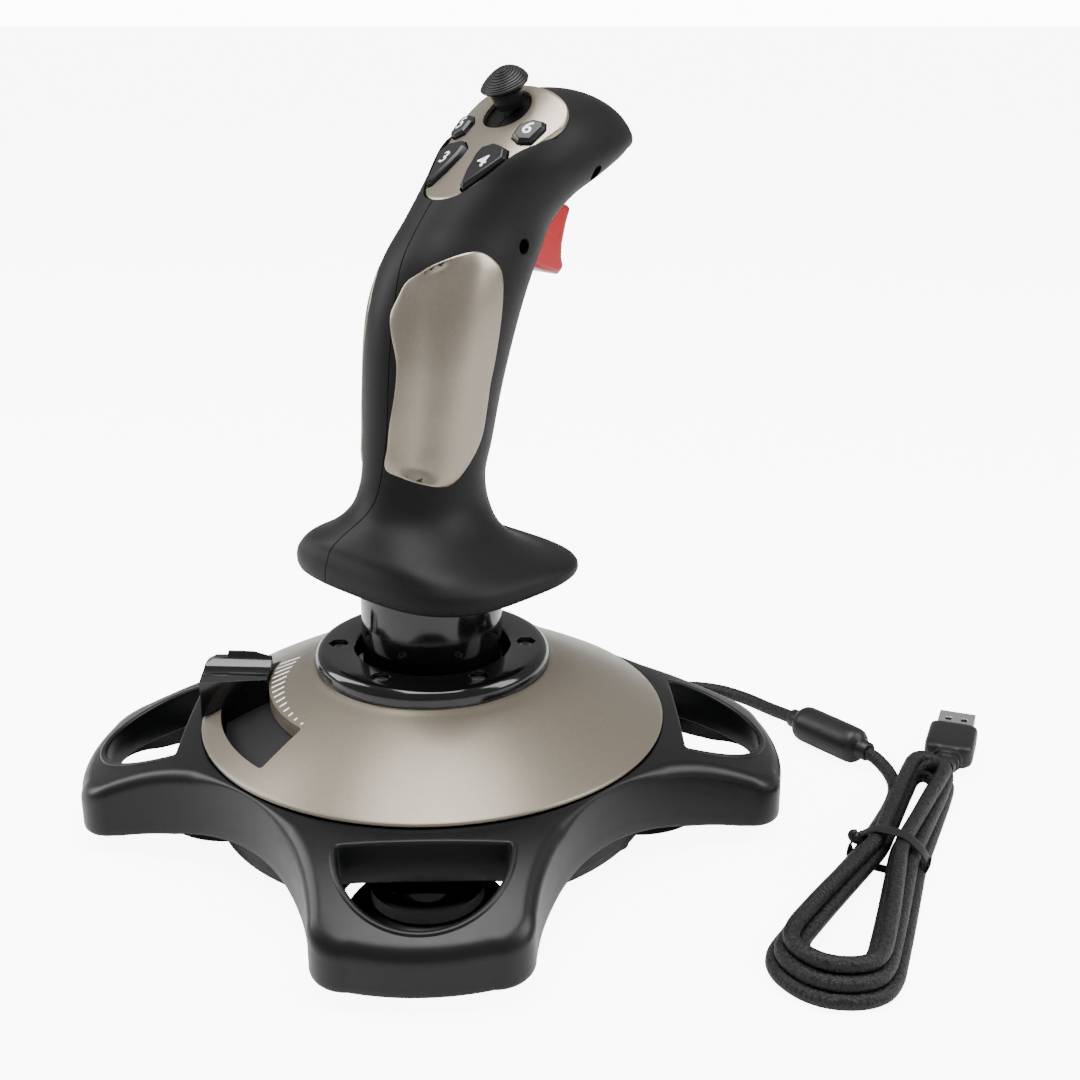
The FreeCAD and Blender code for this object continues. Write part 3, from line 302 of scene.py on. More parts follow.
def revolve(name, prof, mat, n=192, body="base", closed=True, angle=30.0, place=None, keep=None):
    V_, F_ = [], []
    idx = []
    for r, z in prof:
        if r < 1e-6:
            idx.append([len(V_)] * n); V_.append((0, 0, z))
        else:
            idx.append(list(range(len(V_), len(V_) + n)))
            V_ += [(r * math.cos(2 * math.pi * k / n), r * math.sin(2 * math.pi * k / n), z) for k in range(n)]
    m = len(prof)
    for i in range(m if closed else m - 1):
        A, B = idx[i], idx[(i + 1) % m]
        for k in range(n):
            f = [A[k], A[(k + 1) % n], B[(k + 1) % n], B[k]]
            g = []
            for q in f:
                if q not in g: g.append(q)
            if len(g) > 2: F_.append(g)
    if place is not None:
        V_ = [place(v) for v in V_]
    return mesh_obj(name, V_, F_, mat, angle, body)

def axis_place(pos, ax):
    ax = Vector(ax).normalized()
    q = Vector((0, 0, 1)).rotation_difference(ax)
    pos = Vector(pos)
    return lambda v: tuple(pos + q @ Vector(v))

def prism_mesh(pts0, pts1):
    n = len(pts0)
    V_ = [tuple(p) for p in pts0] + [tuple(p) for p in pts1]
    F_ = [tuple(range(n))[::-1], tuple(range(n, 2 * n))] + [(i, (i + 1) % n, n + (i + 1) % n, n + i) for i in range(n)]
    return V_, F_

def temp_obj(name, V_, F_):
    me = bpy.data.meshes.new(name)
    me.from_pydata([tuple(float(c) * MM for c in v) for v in V_], [], F_)
    me.update()
    ob = bpy.data.objects.new(name, me); bpy.context.scene.collection.objects.link(ob)
    bm = bmesh.new(); bm.from_mesh(me); bmesh.ops.recalc_face_normals(bm, faces=bm.faces); bm.to_mesh(me); bm.free()
    return ob

def boolean(ob, cutters, op="DIFFERENCE", angle=32.0):
    for c in cutters:
        md = ob.modifiers.new("cut", "BOOLEAN"); md.object = c; md.operation = op; md.solver = "EXACT"
    bpy.context.view_layer.update()
    dg = bpy.context.evaluated_depsgraph_get()
    me = bpy.data.meshes.new_from_object(ob.evaluated_get(dg))
    old = ob.data; ob.modifiers.clear(); ob.data = me; bpy.data.meshes.remove(old)
    for c in cutters:
        d = c.data; bpy.data.objects.remove(c); bpy.data.meshes.remove(d)
    finish_mesh(ob, angle, recalc=False)
    return ob

def smooth_closed(pts, n, it=0):
    # closed Catmull-Rom through pts, n samples, evenly by arc length
    P = np.array(pts, float); m = len(P); out = []
    for i in range(m):
        p0, p1, p2, p3 = P[(i - 1) % m], P[i], P[(i + 1) % m], P[(i + 2) % m]
        for t in np.linspace(0, 1, 24, endpoint=False):
            out.append(0.5 * ((2 * p1) + (-p0 + p2) * t + (2 * p0 - 5 * p1 + 4 * p2 - p3) * t * t + (-p0 + 3 * p1 - 3 * p2 + p3) * t ** 3))
    out = np.array(out); d = np.linalg.norm(np.roll(out, -1, axis=0) - out, axis=1)
    s = np.concatenate([[0], np.cumsum(d)]); tot = s[-1]; ext = np.vstack([out, out[:1]])
    q = np.linspace(0, tot, n, endpoint=False)
    return np.stack([np.interp(q, s, ext[:, k]) for k in range(P.shape[1])], 1)

def normals2(P):
    t = np.roll(P, -1, axis=0) - np.roll(P, 1, axis=0); t /= np.linalg.norm(t, axis=1)[:, None]
    area = 0.5 * np.sum(P[:, 0] * np.roll(P[:, 1], -1) - np.roll(P[:, 0], -1) * P[:, 1])
    nn = np.stack([t[:, 1], -t[:, 0]], 1)
    return nn if area > 0 else -nn

# ---------------------------------------------------------------- base shell
ARM_REACH, ARM_W, ARM_BOW, ARM_RC, WAIST_R, WALL = 109.4, 59.2, 2.6, 11.0, 72.5, 2.6
RIM_R, RIM_Z = 71.5, 33.2
TOPP = np.polyfit([72.3, 77, 84, 92, 100, 106, 112], [31.9, 31.2, 29.2, 26.2, 22.6, 19.9, 17.0], 3)
def ztop(r): return np.polyval(TOPP, r)
def zbot(r): return np.interp(r, [72.5, 84, 98, 112], [13.0, 9.0, 6.0, 4.8])

def arc3(a, b, c, n):
    a, b, c = (np.array(p, float) for p in (a, b, c))
    d = 2 * (a[0] * (b[1] - c[1]) + b[0] * (c[1] - a[1]) + c[0] * (a[1] - b[1]))
    ux = ((a @ a) * (b[1] - c[1]) + (b @ b) * (c[1] - a[1]) + (c @ c) * (a[1] - b[1])) / d
    uy = ((a @ a) * (c[0] - b[0]) + (b @ b) * (a[0] - c[0]) + (c @ c) * (b[0] - a[0])) / d
    o = np.array([ux, uy]); R = np.linalg.norm(a - o)
    t0 = math.atan2(*(a - o)[::-1]); t1 = math.atan2(*(b - o)[::-1]); t2 = math.atan2(*(c - o)[::-1])
    def unwrap(x, ref):
        while x - ref > math.pi: x -= 2 * math.pi
        while x - ref < -math.pi: x += 2 * math.pi
        return x
    t1 = unwrap(t1, t0); t2 = unwrap(t2, t1)
    return [o + R * np.array([math.cos(t), math.sin(t)]) for t in np.linspace(t0, t2, n, endpoint=False)]

def base_loop():
    R, w, rc, xe = ARM_REACH, ARM_W / 2, ARM_RC, ARM_REACH - ARM_BOW
    k = math.sqrt(0.5); out = []
    for q in range(4):
        a = math.radians(45 + 90 * q); c, s = math.cos(a), math.sin(a)
        Tn = lambda p: np.array([p[0] * c - p[1] * s, p[0] * s + p[1] * c])
        A, Am, B = (xe - rc, -w), (xe - rc + rc * k, -w + rc * (1 - k)), (xe, -w + rc)
        C, Cm, D = (xe, w - rc), (xe - rc + rc * k, w - rc * (1 - k)), (xe - rc, w)
        m = (WAIST_R * k, WAIST_R * k); fl2 = (w, xe - rc)
        for seg, n in (((A, Am, B), 16), ((B, (R, 0), C), 26), ((C, Cm, D), 16), ((D, m, fl2), 76)):
            out += [Tn(p) for p in arc3(*seg, n)]
    return np.array(out)

BL = base_loop(); BN = normals2(BL)
for _ in range(3): BN = (np.roll(BN, 1, 0) + 2 * BN + np.roll(BN, -1, 0)) / 4
BN /= np.linalg.norm(BN, axis=1)[:, None]
br = np.linalg.norm(BL, axis=1)
rho = np.clip((br - 72.3) * 0.45 + 0.55, 0.5, 3.6)
cen = BL / br[:, None] * 71.75
rows = []
def addrow(P2, z): rows.append(np.column_stack([P2, z]))
Q = BL - BN * rho[:, None]
for t in np.linspace(0, 1, 12, endpoint=False):
    P2 = cen + (Q - cen) * t; r = np.maximum(np.linalg.norm(P2, axis=1), 71.75)
    addrow(P2, ztop(r) - (0.0 if t > 0 else 0.15))
for ph in np.radians([0, 14, 28, 42, 56, 70, 82, 90]):
    P2 = BL - BN * (rho * (1 - math.sin(ph)))[:, None]; r = np.linalg.norm(P2, axis=1)
    addrow(P2, ztop(r) - rho * (1 - math.cos(ph)))
zs = ztop(br) - rho; zb = zbot(br)
for t in (0.12, 0.35, 0.6, 0.85): addrow(BL, zs + (zb + 1.6 - zs) * t)
for ph in np.radians([0, 25, 50, 75, 90]):
    addrow(BL - BN * (1.4 * (1 - math.cos(ph))), zb + 1.4 * (1 - math.sin(ph)))
inn = BL - BN * WALL; ri = np.linalg.norm(inn, axis=1)
addrow(BL - BN * (WALL - 0.3), zb); addrow(inn, zb + 0.5)
addrow(inn, (zb + ztop(ri)) / 2); addrow(inn, np.minimum(ztop(np.maximum(ri, 72.3)) - 2.8, 29.2))
inner_c = BL / br[:, None] * np.minimum(70.2, ri)[:, None]
for t in (0.5, 1.0):
    P2 = inn + (inner_c - inn) * t; r = np.maximum(np.linalg.norm(P2, axis=1), 72.0)
    addrow(P2, ztop(r) - 2.8)
addrow(BL / br[:, None] * 70.2, np.full(len(BL), 30.9))
addrow(BL / br[:, None] * 71.2, np.full(len(BL), 31.3))
Vb = np.vstack(rows)
base_shell = mesh_obj("base_shell", Vb, grid_faces(len(rows), len(BL), True, True), "base_black", 40)

def dwin(off, n=150):
    pts = []
    hw, ra, xc = 23.4, 26.3, 76.5
    for i in range(49):
        t = math.radians(-90 + 180 * i / 48.0); pts.append((xc + ra * math.cos(t), hw * math.sin(t)))
    for y in np.linspace(23.4, -23.4, 21)[1:-1]: pts.append((76.5 + 0.1 * (1 - (y / 23.4) ** 2), y))
    P = np.array(pts)
    d = np.linalg.norm(np.roll(P, -1, 0) - P, axis=1); s = np.concatenate([[0], np.cumsum(d)]); E = np.vstack([P, P[:1]])
    q = np.linspace(0, s[-1], 400, endpoint=False); P = np.stack([np.interp(q, s, E[:, k]) for k in range(2)], 1)
    for _ in range(10): P = (np.roll(P, 1, 0) + 2 * P + np.roll(P, -1, 0)) / 4
    P = P[:: 400 // n] if 400 % n == 0 else P[np.linspace(0, 399, n).astype(int)]
    return P + normals2(P) * off

def rotz(P, a):
    c, s = math.cos(math.radians(a)), math.sin(math.radians(a))
    return np.column_stack([P[:, 0] * c - P[:, 1] * s, P[:, 0] * s + P[:, 1] * c])

cut = []
for q in range(4):
    D = rotz(dwin(0.55), 45 + 90 * q)
    cut.append(temp_obj("c", *prism_mesh(np.column_stack([D, np.full(len(D), -5.0)]), np.column_stack([D, np.full(len(D), 45.0)]))))
boolean(base_shell, cut, angle=40)
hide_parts("base_frame")
for q in range(4):
    D0 = dwin(0.0); DN = normals2(D0); rr = np.linalg.norm(D0, axis=1)
    zt = ztop(np.maximum(rr, 72.3)); zl = np.interp(rr, [78.5, 92, 106], [18.2, 14.0, 10.5])
    sec = [(1.9, "t", -0.35), (1.5, "t", 0.02), (1.0, "t", 0.10), (0.55, "t", 0.06), (0.22, "t", -0.10), (0.04, "t", -0.42), (0.0, "t", -0.9), (0.0, "m", 0), (0.0, "l", 0.7), (0.35, "l", 0.15), (0.8, "l", 0.0), (1.5, "l", 0.0), (1.9, "l", 0.6), (1.9, "m", 0)]
    rw = []
    for o, kx, dz in sec:
        z = zt + dz if kx == "t" else (zl + dz if kx == "l" else (zt + zl) / 2)
        rw.append(np.column_stack([rotz(D0 + DN * o, 45 + 90 * q), z]))
    mesh_obj("window_rim_%d" % q, np.vstack(rw), grid_faces(len(rw), len(D0), True, True), "base_black", 50)

# ---------------------------------------------------------------- dome, ring, column
def dome_z(r):
    t = (r - 37.0) / (RIM_R - 37.0)
    return 49.6 + (RIM_Z - 49.6) * t + 3.4 * t * (1 - t)
prof = [(25.0, 47.6), (25.0, 50.0), (36.2, 50.0), (36.8, 49.86), (37.4, 49.5)]
prof += [(r, dome_z(r)) for r in np.linspace(39, 71.0, 36)] + [(71.35, RIM_Z + 0.02), (71.5, RIM_Z - 0.2), (71.5, RIM_Z - 0.7), (71.3, RIM_Z - 0.95), (70.9, RIM_Z - 1.1), (69.6, 31.5)]
prof += [(r - 0.6, dome_z(r) - 2.3) for r in np.linspace(68, 40, 12)] + [(37.2, 47.6)]
dome = revolve("dome_shell", prof, "dome_champagne", 288, angle=38)
def sector_prism(r0, r1, a0, a1, z0, z1, n=48, rc=1.2):
    pts = []
    A = np.radians(np.linspace(a0, a1, n))
    d1, d0 = rc / r1, rc / r0
    out = [(r1, t) for t in np.linspace(A[0] + d1, A[-1] - d1, n)]
    pts += [(r1 * math.cos(t), r1 * math.sin(t)) for _, t in out]
    for k in range(1, 6):
        f = math.radians(90 * k / 6); r = r1 - rc + rc * math.cos(f); t = A[-1] - d1 + rc * math.sin(f) / r1
        pts.append((r * math.cos(t), r * math.sin(t)))
    for k in range(1, 6):
        f = math.radians(90 * k / 6); r = r0 + rc - rc * math.sin(f); t = A[-1] - d0 + rc * math.cos(f) / r0
        pts.append((r * math.cos(t), r * math.sin(t)))
    pts += [(r0 * math.cos(t), r0 * math.sin(t)) for t in np.linspace(A[-1] - d0, A[0] + d0, n)]
    for k in range(1, 6):
        f = math.radians(90 * k / 6); r = r0 + rc - rc * math.cos(f); t = A[0] + d0 - rc * math.sin(f) / r0
        pts.append((r * math.cos(t), r * math.sin(t)))
    for k in range(1, 6):
        f = math.radians(90 * k / 6); r = r1 - rc + rc * math.sin(f); t = A[0] + d1 - rc * math.cos(f) / r1
        pts.append((r * math.cos(t), r * math.sin(t)))
    P = np.array(pts)
    return np.column_stack([P, np.full(len(P), z0)]), np.column_stack([P, np.full(len(P), z1)])
SLOT = (50.5, 65.5, 209.5, 268.5)
boolean(dome, [temp_obj("c", *prism_mesh(*sector_prism(*SLOT, 25, 60)))], angle=38)
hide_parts("dome_cover")
# inner wall of the slot
rw = []
for r, z in ((50.45, dome_z(50.5) - 0.6), (50.45, dome_z(50.5) - 4.6), (48.9, dome_z(50.5) - 4.6), (48.9, dome_z(50.5) - 1.6)):
    rw.append([(r * math.cos(t), r * math.sin(t), z) for t in np.radians(np.linspace(208.5, 269.0, 60))])
mesh_obj("slot_wall", np.vstack(rw), grid_faces(4, 60, True, False), "dome_champagne", 40)
# throttle scale: bars that grow round the slot
Vs, Fs = [], []
for i in range(14):
    a = 266.6 - i * 4.05
    ln = 0.7 + 6.0 * (i / 13.0) ** 1.15; wd = 0.55 + 0.55 * i / 13.0
    r1 = 49.7; r0 = r1 - ln; n0 = len(Vs)
    da0, da1 = math.degrees(wd / r0) / 2, math.degrees(wd / r1) / 2
    for r in (r0, (r0 + r1) / 2, r1):
        for sgn in (-1, 1):
            t = math.radians(a + sgn * math.degrees(wd / r) / 2)
            Vs.append((r * math.cos(t), r * math.sin(t), dome_z(r) + 0.06))
    Fs += [(n0, n0 + 1, n0 + 3, n0 + 2), (n0 + 2, n0 + 3, n0 + 5, n0 + 4)]
mesh_obj("throttle_scale", Vs, Fs, "mark_white", 30)

ring = revolve("collar_ring_skin", [(23.8, 50.02), (36.0, 50.02), (36.0, 52.4), (35.9, 53.0), (35.5, 54.0), (34.9, 54.75), (34.2, 55.2), (33.4, 55.45), (32.6, 55.5), (25.0, 55.5), (24.3, 55.35), (23.9, 54.9), (23.8, 54.3)], "gloss_black", 256, angle=30)
cut = []
for k in range(6):
    a = math.radians(45 + 60 * k); cx, cy = 28.8 * math.cos(a), 28.8 * math.sin(a)
    P = np.array([(cx + 5.6 / math.sqrt(3) * math.cos(a + math.radians(60 * i)), cy + 5.6 / math.sqrt(3) * math.sin(a + math.radians(60 * i))) for i in range(6)])
    cut.append(temp_obj("c", *prism_mesh(np.column_stack([P, np.full(6, 52.6)]), np.column_stack([P, np.full(6, 58.0)]))))
boolean(ring, cut, angle=30)
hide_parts("collar_ring")
col = revolve("column_skin", [(18.9, 50.6), (19.3, 50.1), (21.0, 50.1), (21.35, 50.3), (21.5, 50.7), (21.5, 74.7), (21.7, 74.95), (22.2, 75.1), (22.3, 75.4), (22.3, 77.1), (22.1, 77.4), (18.9, 77.4)], "gloss_black", 256, "stick", angle=30)
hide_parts("stick_column")
# skirt top plate and spigot stay in the CAD node; the skin hides only the outer wall

# knobs on the suction cups and the cups themselves
for q, nm in enumerate(("fr", "fl", "rl", "rr")):
    a = math.radians(45 + 90 * q); c = (63.4 * math.cos(a), 63.4 * math.sin(a), 0.0)
    pl = axis_place(c, (0, 0, 1))
    kn = revolve("cup_knob_" + nm, [(0, 9.5), (11.0, 9.5), (11.3, 9.8), (11.3, 10.5), (11.0, 11.1), (10.4, 12.0), (9.4, 13.0), (8.2, 13.9), (6.8, 14.6), (5.0, 15.2), (3.0, 15.55), (0, 15.7)], "gloss_black", 96, angle=35, place=pl, closed=False)
    if q == 0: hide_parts("cup_knobs")
    cp = revolve("suction_cup_skin_" + nm, [(0, 6.9), (11.5, 6.9), (14.5, 6.5), (17.0, 5.6), (19.6, 4.3), (22.2, 2.6), (23.3, 1.2), (23.6, 0.5), (23.3, 0.1), (22.6, 0.0), (21.4, 0.0), (17.0, 2.4), (10.0, 4.0), (0, 4.4)], "cup_rubber", 128, angle=50, place=pl, closed=False)
    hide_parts("suction_cup_" + nm)

# ---------------------------------------------------------------- grip
SEC = np.array([(3.0, 80.0, 0, 33.6, 39.0, 3.2), (2.8, 80.8, 0, 34.3, 39.7, 3.3), (2.4, 84.6, 2, 34.3, 39.4, 3.3), (2.0, 85.8, 3, 33.6, 38.4, 3.2), (-0.8, 88.8, 6, 30.8, 34.0, 2.7),
 (-2.6, 92.0, 7, 27.6, 28.4, 2.25), (-3.6, 96.0, 6, 24.4, 22.8, 2.1), (-3.0, 101.5, 3, 21.4, 18.8, 2.05), (-2.0, 109.0, 0, 19.6, 17.2, 2.0),
 (0.3, 120.0, 0, 20.5, 17.4, 2.0), (2.9, 135.0, 0, 22.0, 18.2, 2.0), (6.0, 149.0, 0, 23.8, 19.0, 2.0), (10.2, 162.0, 0, 25.4, 19.2, 2.0),
 (15.9, 173.0, 1, 25.8, 18.8, 2.0), (22.6, 182.0, 4, 23.6, 18.2, 2.05), (31.0, 190.4, 9, 22.6, 19.6, 2.15), (39.6, 197.4, 16, 22.8, 21.6, 2.3),
 (49.2, 203.2, 24, 21.6, 21.4, 2.4), (58.6, 206.6, 33, 19.0, 19.0, 2.4), (67.0, 207.8, 41, 15.4, 16.0, 2.35), (74.0, 206.6, 47, 11.2, 12.6, 2.3), (78.0, 205.2, 51, 7.0, 9.0, 2.2)])
def sections(per=9):
    # Catmull-Rom through the sections by chord length
    d = np.linalg.norm(np.diff(SEC[:, :2], axis=0), axis=1) + 0.3 * np.linalg.norm(np.diff(SEC[:, 3:5], axis=0), axis=1)
    s = np.concatenate([[0], np.cumsum(d)]); out = []
    g = np.gradient(SEC, s, axis=0)
    g[0] = (SEC[1] - SEC[0]) / d[0]; g[1] = g[1] * 0.6
    for i in range(len(SEC) - 1):
        h = d[i]; k = max(2, int(round(d[i] / 1.3)))
        for t in np.linspace(0, 1, k, endpoint=False):
            h00 = 2 * t ** 3 - 3 * t ** 2 + 1; h10 = t ** 3 - 2 * t ** 2 + t; h01 = -2 * t ** 3 + 3 * t ** 2; h11 = t ** 3 - t ** 2
            out.append(h00 * SEC[i] + h10 * h * g[i] + h01 * SEC[i + 1] + h11 * h * g[i + 1])
    out.append(SEC[-1]); return np.array(out)
def ring_pts(s, n=176, off=0.0):
    yc, zc, tilt, a, b, e = s; a -= off; b -= off
    t = 2 * math.pi * (np.arange(n) + 0.5) / n
    ct, st = np.cos(t), np.sin(t)
    x = b * np.abs(ct) ** (2 / e) * np.sign(ct); y = a * np.abs(st) ** (2 / e) * np.sign(st)
    c_, s_ = math.cos(math.radians(tilt)), math.sin(math.radians(tilt))
    return np.column_stack([x, yc + y * c_, zc - y * s_])
SS = sections(); NR = 176
RG = [ring_pts(s, NR) for s in SS]
# close the nose with two small rings
last = SS[-1].copy()
for f, dz in ((0.80, 0.9), (0.5, 1.5), (0.2, 1.7)):
    q = last.copy(); q[3] *= f; q[4] *= f
    nrm_ = np.array([0, math.sin(math.radians(last[2])), math.cos(math.radians(last[2]))])
    RG.append(ring_pts(q, NR) + nrm_ * dz)
Vg = np.vstack(RG); Fg = grid_faces(len(RG), NR)
Fg = list(Fg) + [tuple(range(NR))[::-1], tuple(range((len(RG) - 1) * NR, len(RG) * NR))]
TILT = math.radians(38.67)
P0 = np.array([0, 18.58, 200.0]); NP_ = np.array([0, -math.sin(TILT), math.cos(TILT)]); EP_ = np.array([0, math.cos(TILT), math.sin(TILT)]); XP_ = np.array([1.0, 0, 0])
PR = 50.0
def pan(x, e, h=0.0): return P0 + XP_ * x + EP_ * e + NP_ * h
def crown(x, e, h=0.0):
    # point on the crowned panel surface above panel coordinates (x, e)
    R = PR + h; return pan(x, e, 0) + NP_ * (math.sqrt(max(R * R - x * x, 1.0)) - PR)
PANEL_OUT = [(0, -17.2), (5.2, -15.6), (9.0, -10.6), (12.2, -3.6), (15.2, 4.6), (18.4, 13.0), (20.0, 20.0), (17.6, 26.2), (10.6, 29.6), (0, 30.6)]
PO = smooth_closed(PANEL_OUT + [(-x, e) for x, e in reversed(PANEL_OUT[1:-1])], 220)
PC = np.array([0.0, 7.0])
def po_scaled(k): return (PO - PC) * k + PC
def pocket_cutter():
    O = po_scaled(1.018); n = len(O)
    bot = [crown(x, e, -1.6) for x, e in O]; top = [pan(x, e, 16) for x, e in O]
    inner = [crown(x, e, -1.6) for x, e in po_scaled(0.5)]
    V_ = bot + top + inner + [crown(0, 7.0, -1.6)]
    F_ = [(i, (i + 1) % n, n + (i + 1) % n, n + i) for i in range(n)]
    F_ += [(2 * n + i, 2 * n + (i + 1) % n, (i + 1) % n, i) for i in range(n)] + [(3 * n, 2 * n + (i + 1) % n, 2 * n + i) for i in range(n)]
    F_ += [tuple(range(n, 2 * n))]
    return temp_obj("c", V_, F_)
def yprism(poly_xz, y0, y1):
    return temp_obj("c", *prism_mesh([(x, y0, z) for x, z in poly_xz], [(x, y1, z) for x, z in poly_xz]))
SEAM = [(60, -11.0), (84, -11.0), (88, -10.5), (92, -9.0), (96, -6.0), (100, -2.0), (105, 1.5), (113, 2.5), (125, 4.2), (160, 4.4), (170, 2.8), (178, 1.0), (186, 0.0), (260, 0.0)]
zz = np.concatenate([[60], np.linspace(80, 190, 56), [260]])
sx = np.interp(zz, [a for a, b in SEAM], [b for a, b in SEAM])
for _ in range(4): sx[1:-1] = (sx[:-2] + 2 * sx[1:-1] + sx[2:]) / 4
def half_cutter(sign, gap=0.17):
    # everything on one side of the parting line, removed
    line = [(x + sign * gap, z) for x, z in zip(sx, zz)]
    far = [(-sign * 90, 260), (-sign * 90, 60)]
    flat = [(sign * gap, 60), (sign * gap, 260)]
    a = yprism(line + far, -80, 4.0)
    b = yprism(flat + [(-sign * 90, 260), (-sign * 90, 60)], 3.99, 140)
    return [a, b]
def cylx(y, z, r, x0, x1, n=40):
    c = [(y + r * math.cos(2 * math.pi * k / n), z + r * math.sin(2 * math.pi * k / n)) for k in range(n)]
    return temp_obj("c", *prism_mesh([(x0, a, b) for a, b in c], [(x1, a, b) for a, b in c]))
# thumb panel
rws = []
Kp = 24
for f in np.linspace(0.05, 0.90, 8): rws.append([crown(x, e, -1.35) for x, e in po_scaled(f)])
for kk, dh in ((0.990, -1.35), (0.996, -0.40), (0.993, -0.14), (0.985, 0.0)):
    rws.append([crown(x, e, dh) for x, e in po_scaled(kk)])
for f in np.linspace(0.96, 0.04, Kp): rws.append([crown(x, e, 0.0) for x, e in po_scaled(f * 0.985)])
n = len(PO)
Fp = list(grid_faces(len(rws), n))
Vp = np.vstack(rws + [[crown(0, 7.0, 0.0)], [crown(0, 7.0, -1.35)]])
m_ = (len(rws) - 1) * n
Fp += [(m_ + i, m_ + (i + 1) % n, m_ + n) for i in range(n)] + [((i + 1) % n, i, m_ + n + 1) for i in range(n)]
panel = mesh_obj("thumb_panel_skin", Vp, Fp, "panel_champagne", 40, "grip")

HEX = [(-4.2, 2.4), (-2.9, 4.7), (1.0, 4.5), (4.3, 1.2), (4.2, -3.8), (0.6, -5.4), (-3.2, -4.0)]
KITE = [(-4.6, 1.6), (-4.3, 5.0), (-1.0, 7.7), (4.6, 6.4), (6.6, 2.6), (0.2, -11.8), (-1.6, -10.8), (-3.4, -5.0)]
KEYS = {"6": (13.4, 13.3, [(-x, e) for x, e in HEX][::-1]), "5": (-13.4, 13.3, HEX), "4": (7.2, -1.2, KITE), "3": (-7.2, -1.2, [(-x, e) for x, e in KITE][::-1])}
def key_frame(s, ec):
    ph = s / PR
    nr = NP_ * math.cos(ph) + XP_ * math.sin(ph); xa = XP_ * math.cos(ph) - NP_ * math.sin(ph)
    return pan(0, ec, -PR) + nr * PR, nr, xa
def inset(P, d):
    P = np.array(P, float); n = len(P); out = []
    area = 0.5 * np.sum(P[:, 0] * np.roll(P[:, 1], -1) - np.roll(P[:, 0], -1) * P[:, 1]); sg = 1 if area > 0 else -1
    for i in range(n):
        a, b, c = P[i - 1], P[i], P[(i + 1) % n]
        u = (b - a) / np.linalg.norm(b - a); w = (c - b) / np.linalg.norm(c - b)
        n1 = np.array([-u[1], u[0]]) * sg; n2 = np.array([-w[1], w[0]]) * sg
        m = (n1 + n2); m /= np.linalg.norm(m); out.append(b + m * d / max(0.35, m @ n1))
    return np.array(out)
cut = []
for dg_, (s, ec, poly) in KEYS.items():
    o, nr, xa = key_frame(s, ec)
    W = lambda P, h: [o + xa * x + EP_ * e + nr * h for x, e in P]
    cut.append(temp_obj("c", *prism_mesh(W(poly, -3.0), W(poly, 3.0))))
    P = np.array(poly) * 0.93
    rr = [W(P, -3.0), W(P, 0.35), W(inset(P, 0.18), 0.95), W(inset(P, 0.75), 1.55), W(inset(P, 0.98), 1.66)]
    n = len(P); V_ = np.vstack(rr); F_ = list(grid_faces(len(rr), n)) + [tuple(range(n))[::-1], tuple(range((len(rr) - 1) * n, len(rr) * n))]
    kb = mesh_obj("key_%s_cap" % dg_, V_, F_, "key_black", 20, "key_" + dg_)
    md = kb.modifiers.new("bev", "BEVEL"); md.width = 0.00022; md.segments = 2; md.limit_method = "ANGLE"; md.angle_limit = math.radians(18)
    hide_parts("button_" + dg_)
    tx = bpy.data.curves.new("t", "FONT"); tx.body = dg_; tx.size = 0.0062; tx.align_x = "CENTER"; tx.align_y = "CENTER"; tx.offset = 0.00008
    to = bpy.data.objects.new("t", tx); bpy.context.scene.collection.objects.link(to); bpy.context.view_layer.update()
    me = bpy.data.meshes.new_from_object(to.evaluated_get(bpy.context.evaluated_depsgraph_get()))
    bpy.data.objects.remove(to); bpy.data.curves.remove(tx)
    off = {"5": (-0.1, 0.1), "6": (-0.2, 0.1), "4": (0.4, -0.6), "3": (-0.4, -0.6)}[dg_]
    up = EP_; rt = xa
    for v in me.vertices:
        x, y = v.co.x / MM + off[0], v.co.y / MM + off[1]
        v.co = Vector([float(c) * MM for c in (o + rt * x + up * y + nr * 1.70)])
    me.materials.clear(); me.materials.append(MAT["mark_white"])
    dob = bpy.data.objects.new("digit_" + dg_, me); bpy.context.scene.collection.objects.link(dob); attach(dob, "key_" + dg_)
hole = [pan(7.9 * math.cos(t), 20.2 + 7.9 * math.sin(t), 0) for t in np.linspace(0, 2 * math.pi, 64, endpoint=False)]
cut.append(temp_obj("c", *prism_mesh([p + NP_ * -6 for p in hole], [p + NP_ * 3 for p in hole])))
boolean(panel, cut, angle=40)
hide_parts("thumb_panel")

# hat
HP = np.array([0, 36.85064, 209.49862])
HATP = [(3.5, 3.6), (3.6, 4.3), (4.0, 5.0), (4.3, 6.0), (4.5, 7.0), (4.8, 7.8), (5.0, 8.4), (5.2, 8.9), (6.1, 9.5), (6.9, 10.1), (7.25, 10.6), (7.3, 11.0), (7.15, 11.25), (6.75, 11.35), (6.85, 11.6), (6.75, 11.85), (6.25, 11.95), (6.35, 12.2), (6.2, 12.4), (5.6, 12.5), (5.7, 12.75), (5.5, 12.95), (4.9, 13.05), (5.0, 13.3), (4.8, 13.45), (4.1, 13.5), (4.2, 13.75), (4.0, 13.9), (3.3, 13.95), (3.4, 14.2), (3.2, 14.3), (2.5, 14.3), (2.6, 14.55), (2.4, 14.65), (1.7, 14.6), (1.7, 14.85), (1.5, 14.95), (0.8, 14.85), (0.0, 14.85)]
rws = []
for r, s in HATP:
    k = np.clip((s - 8.0) / 6.0, 0, 1); lean = math.radians(-18.0 - 16.0 * k)
    A0 = np.array([0, math.sin(math.radians(-18)), math.cos(math.radians(-18))]); B = np.array([0, math.cos(lean), -math.sin(lean)])
    cpt = HP + A0 * s
    rws.append([cpt + max(r, 0.01) * (math.cos(t) * XP_ + math.sin(t) * B) for t in np.linspace(0, 2 * math.pi, 96, endpoint=False)])
Vh = np.vstack(rws); Fh = list(grid_faces(len(rws), 96)) + [tuple(range(96))[::-1]]
hat = mesh_obj("hat_rubber_cap", Vh, Fh, "hat_rubber", 60, "hat")
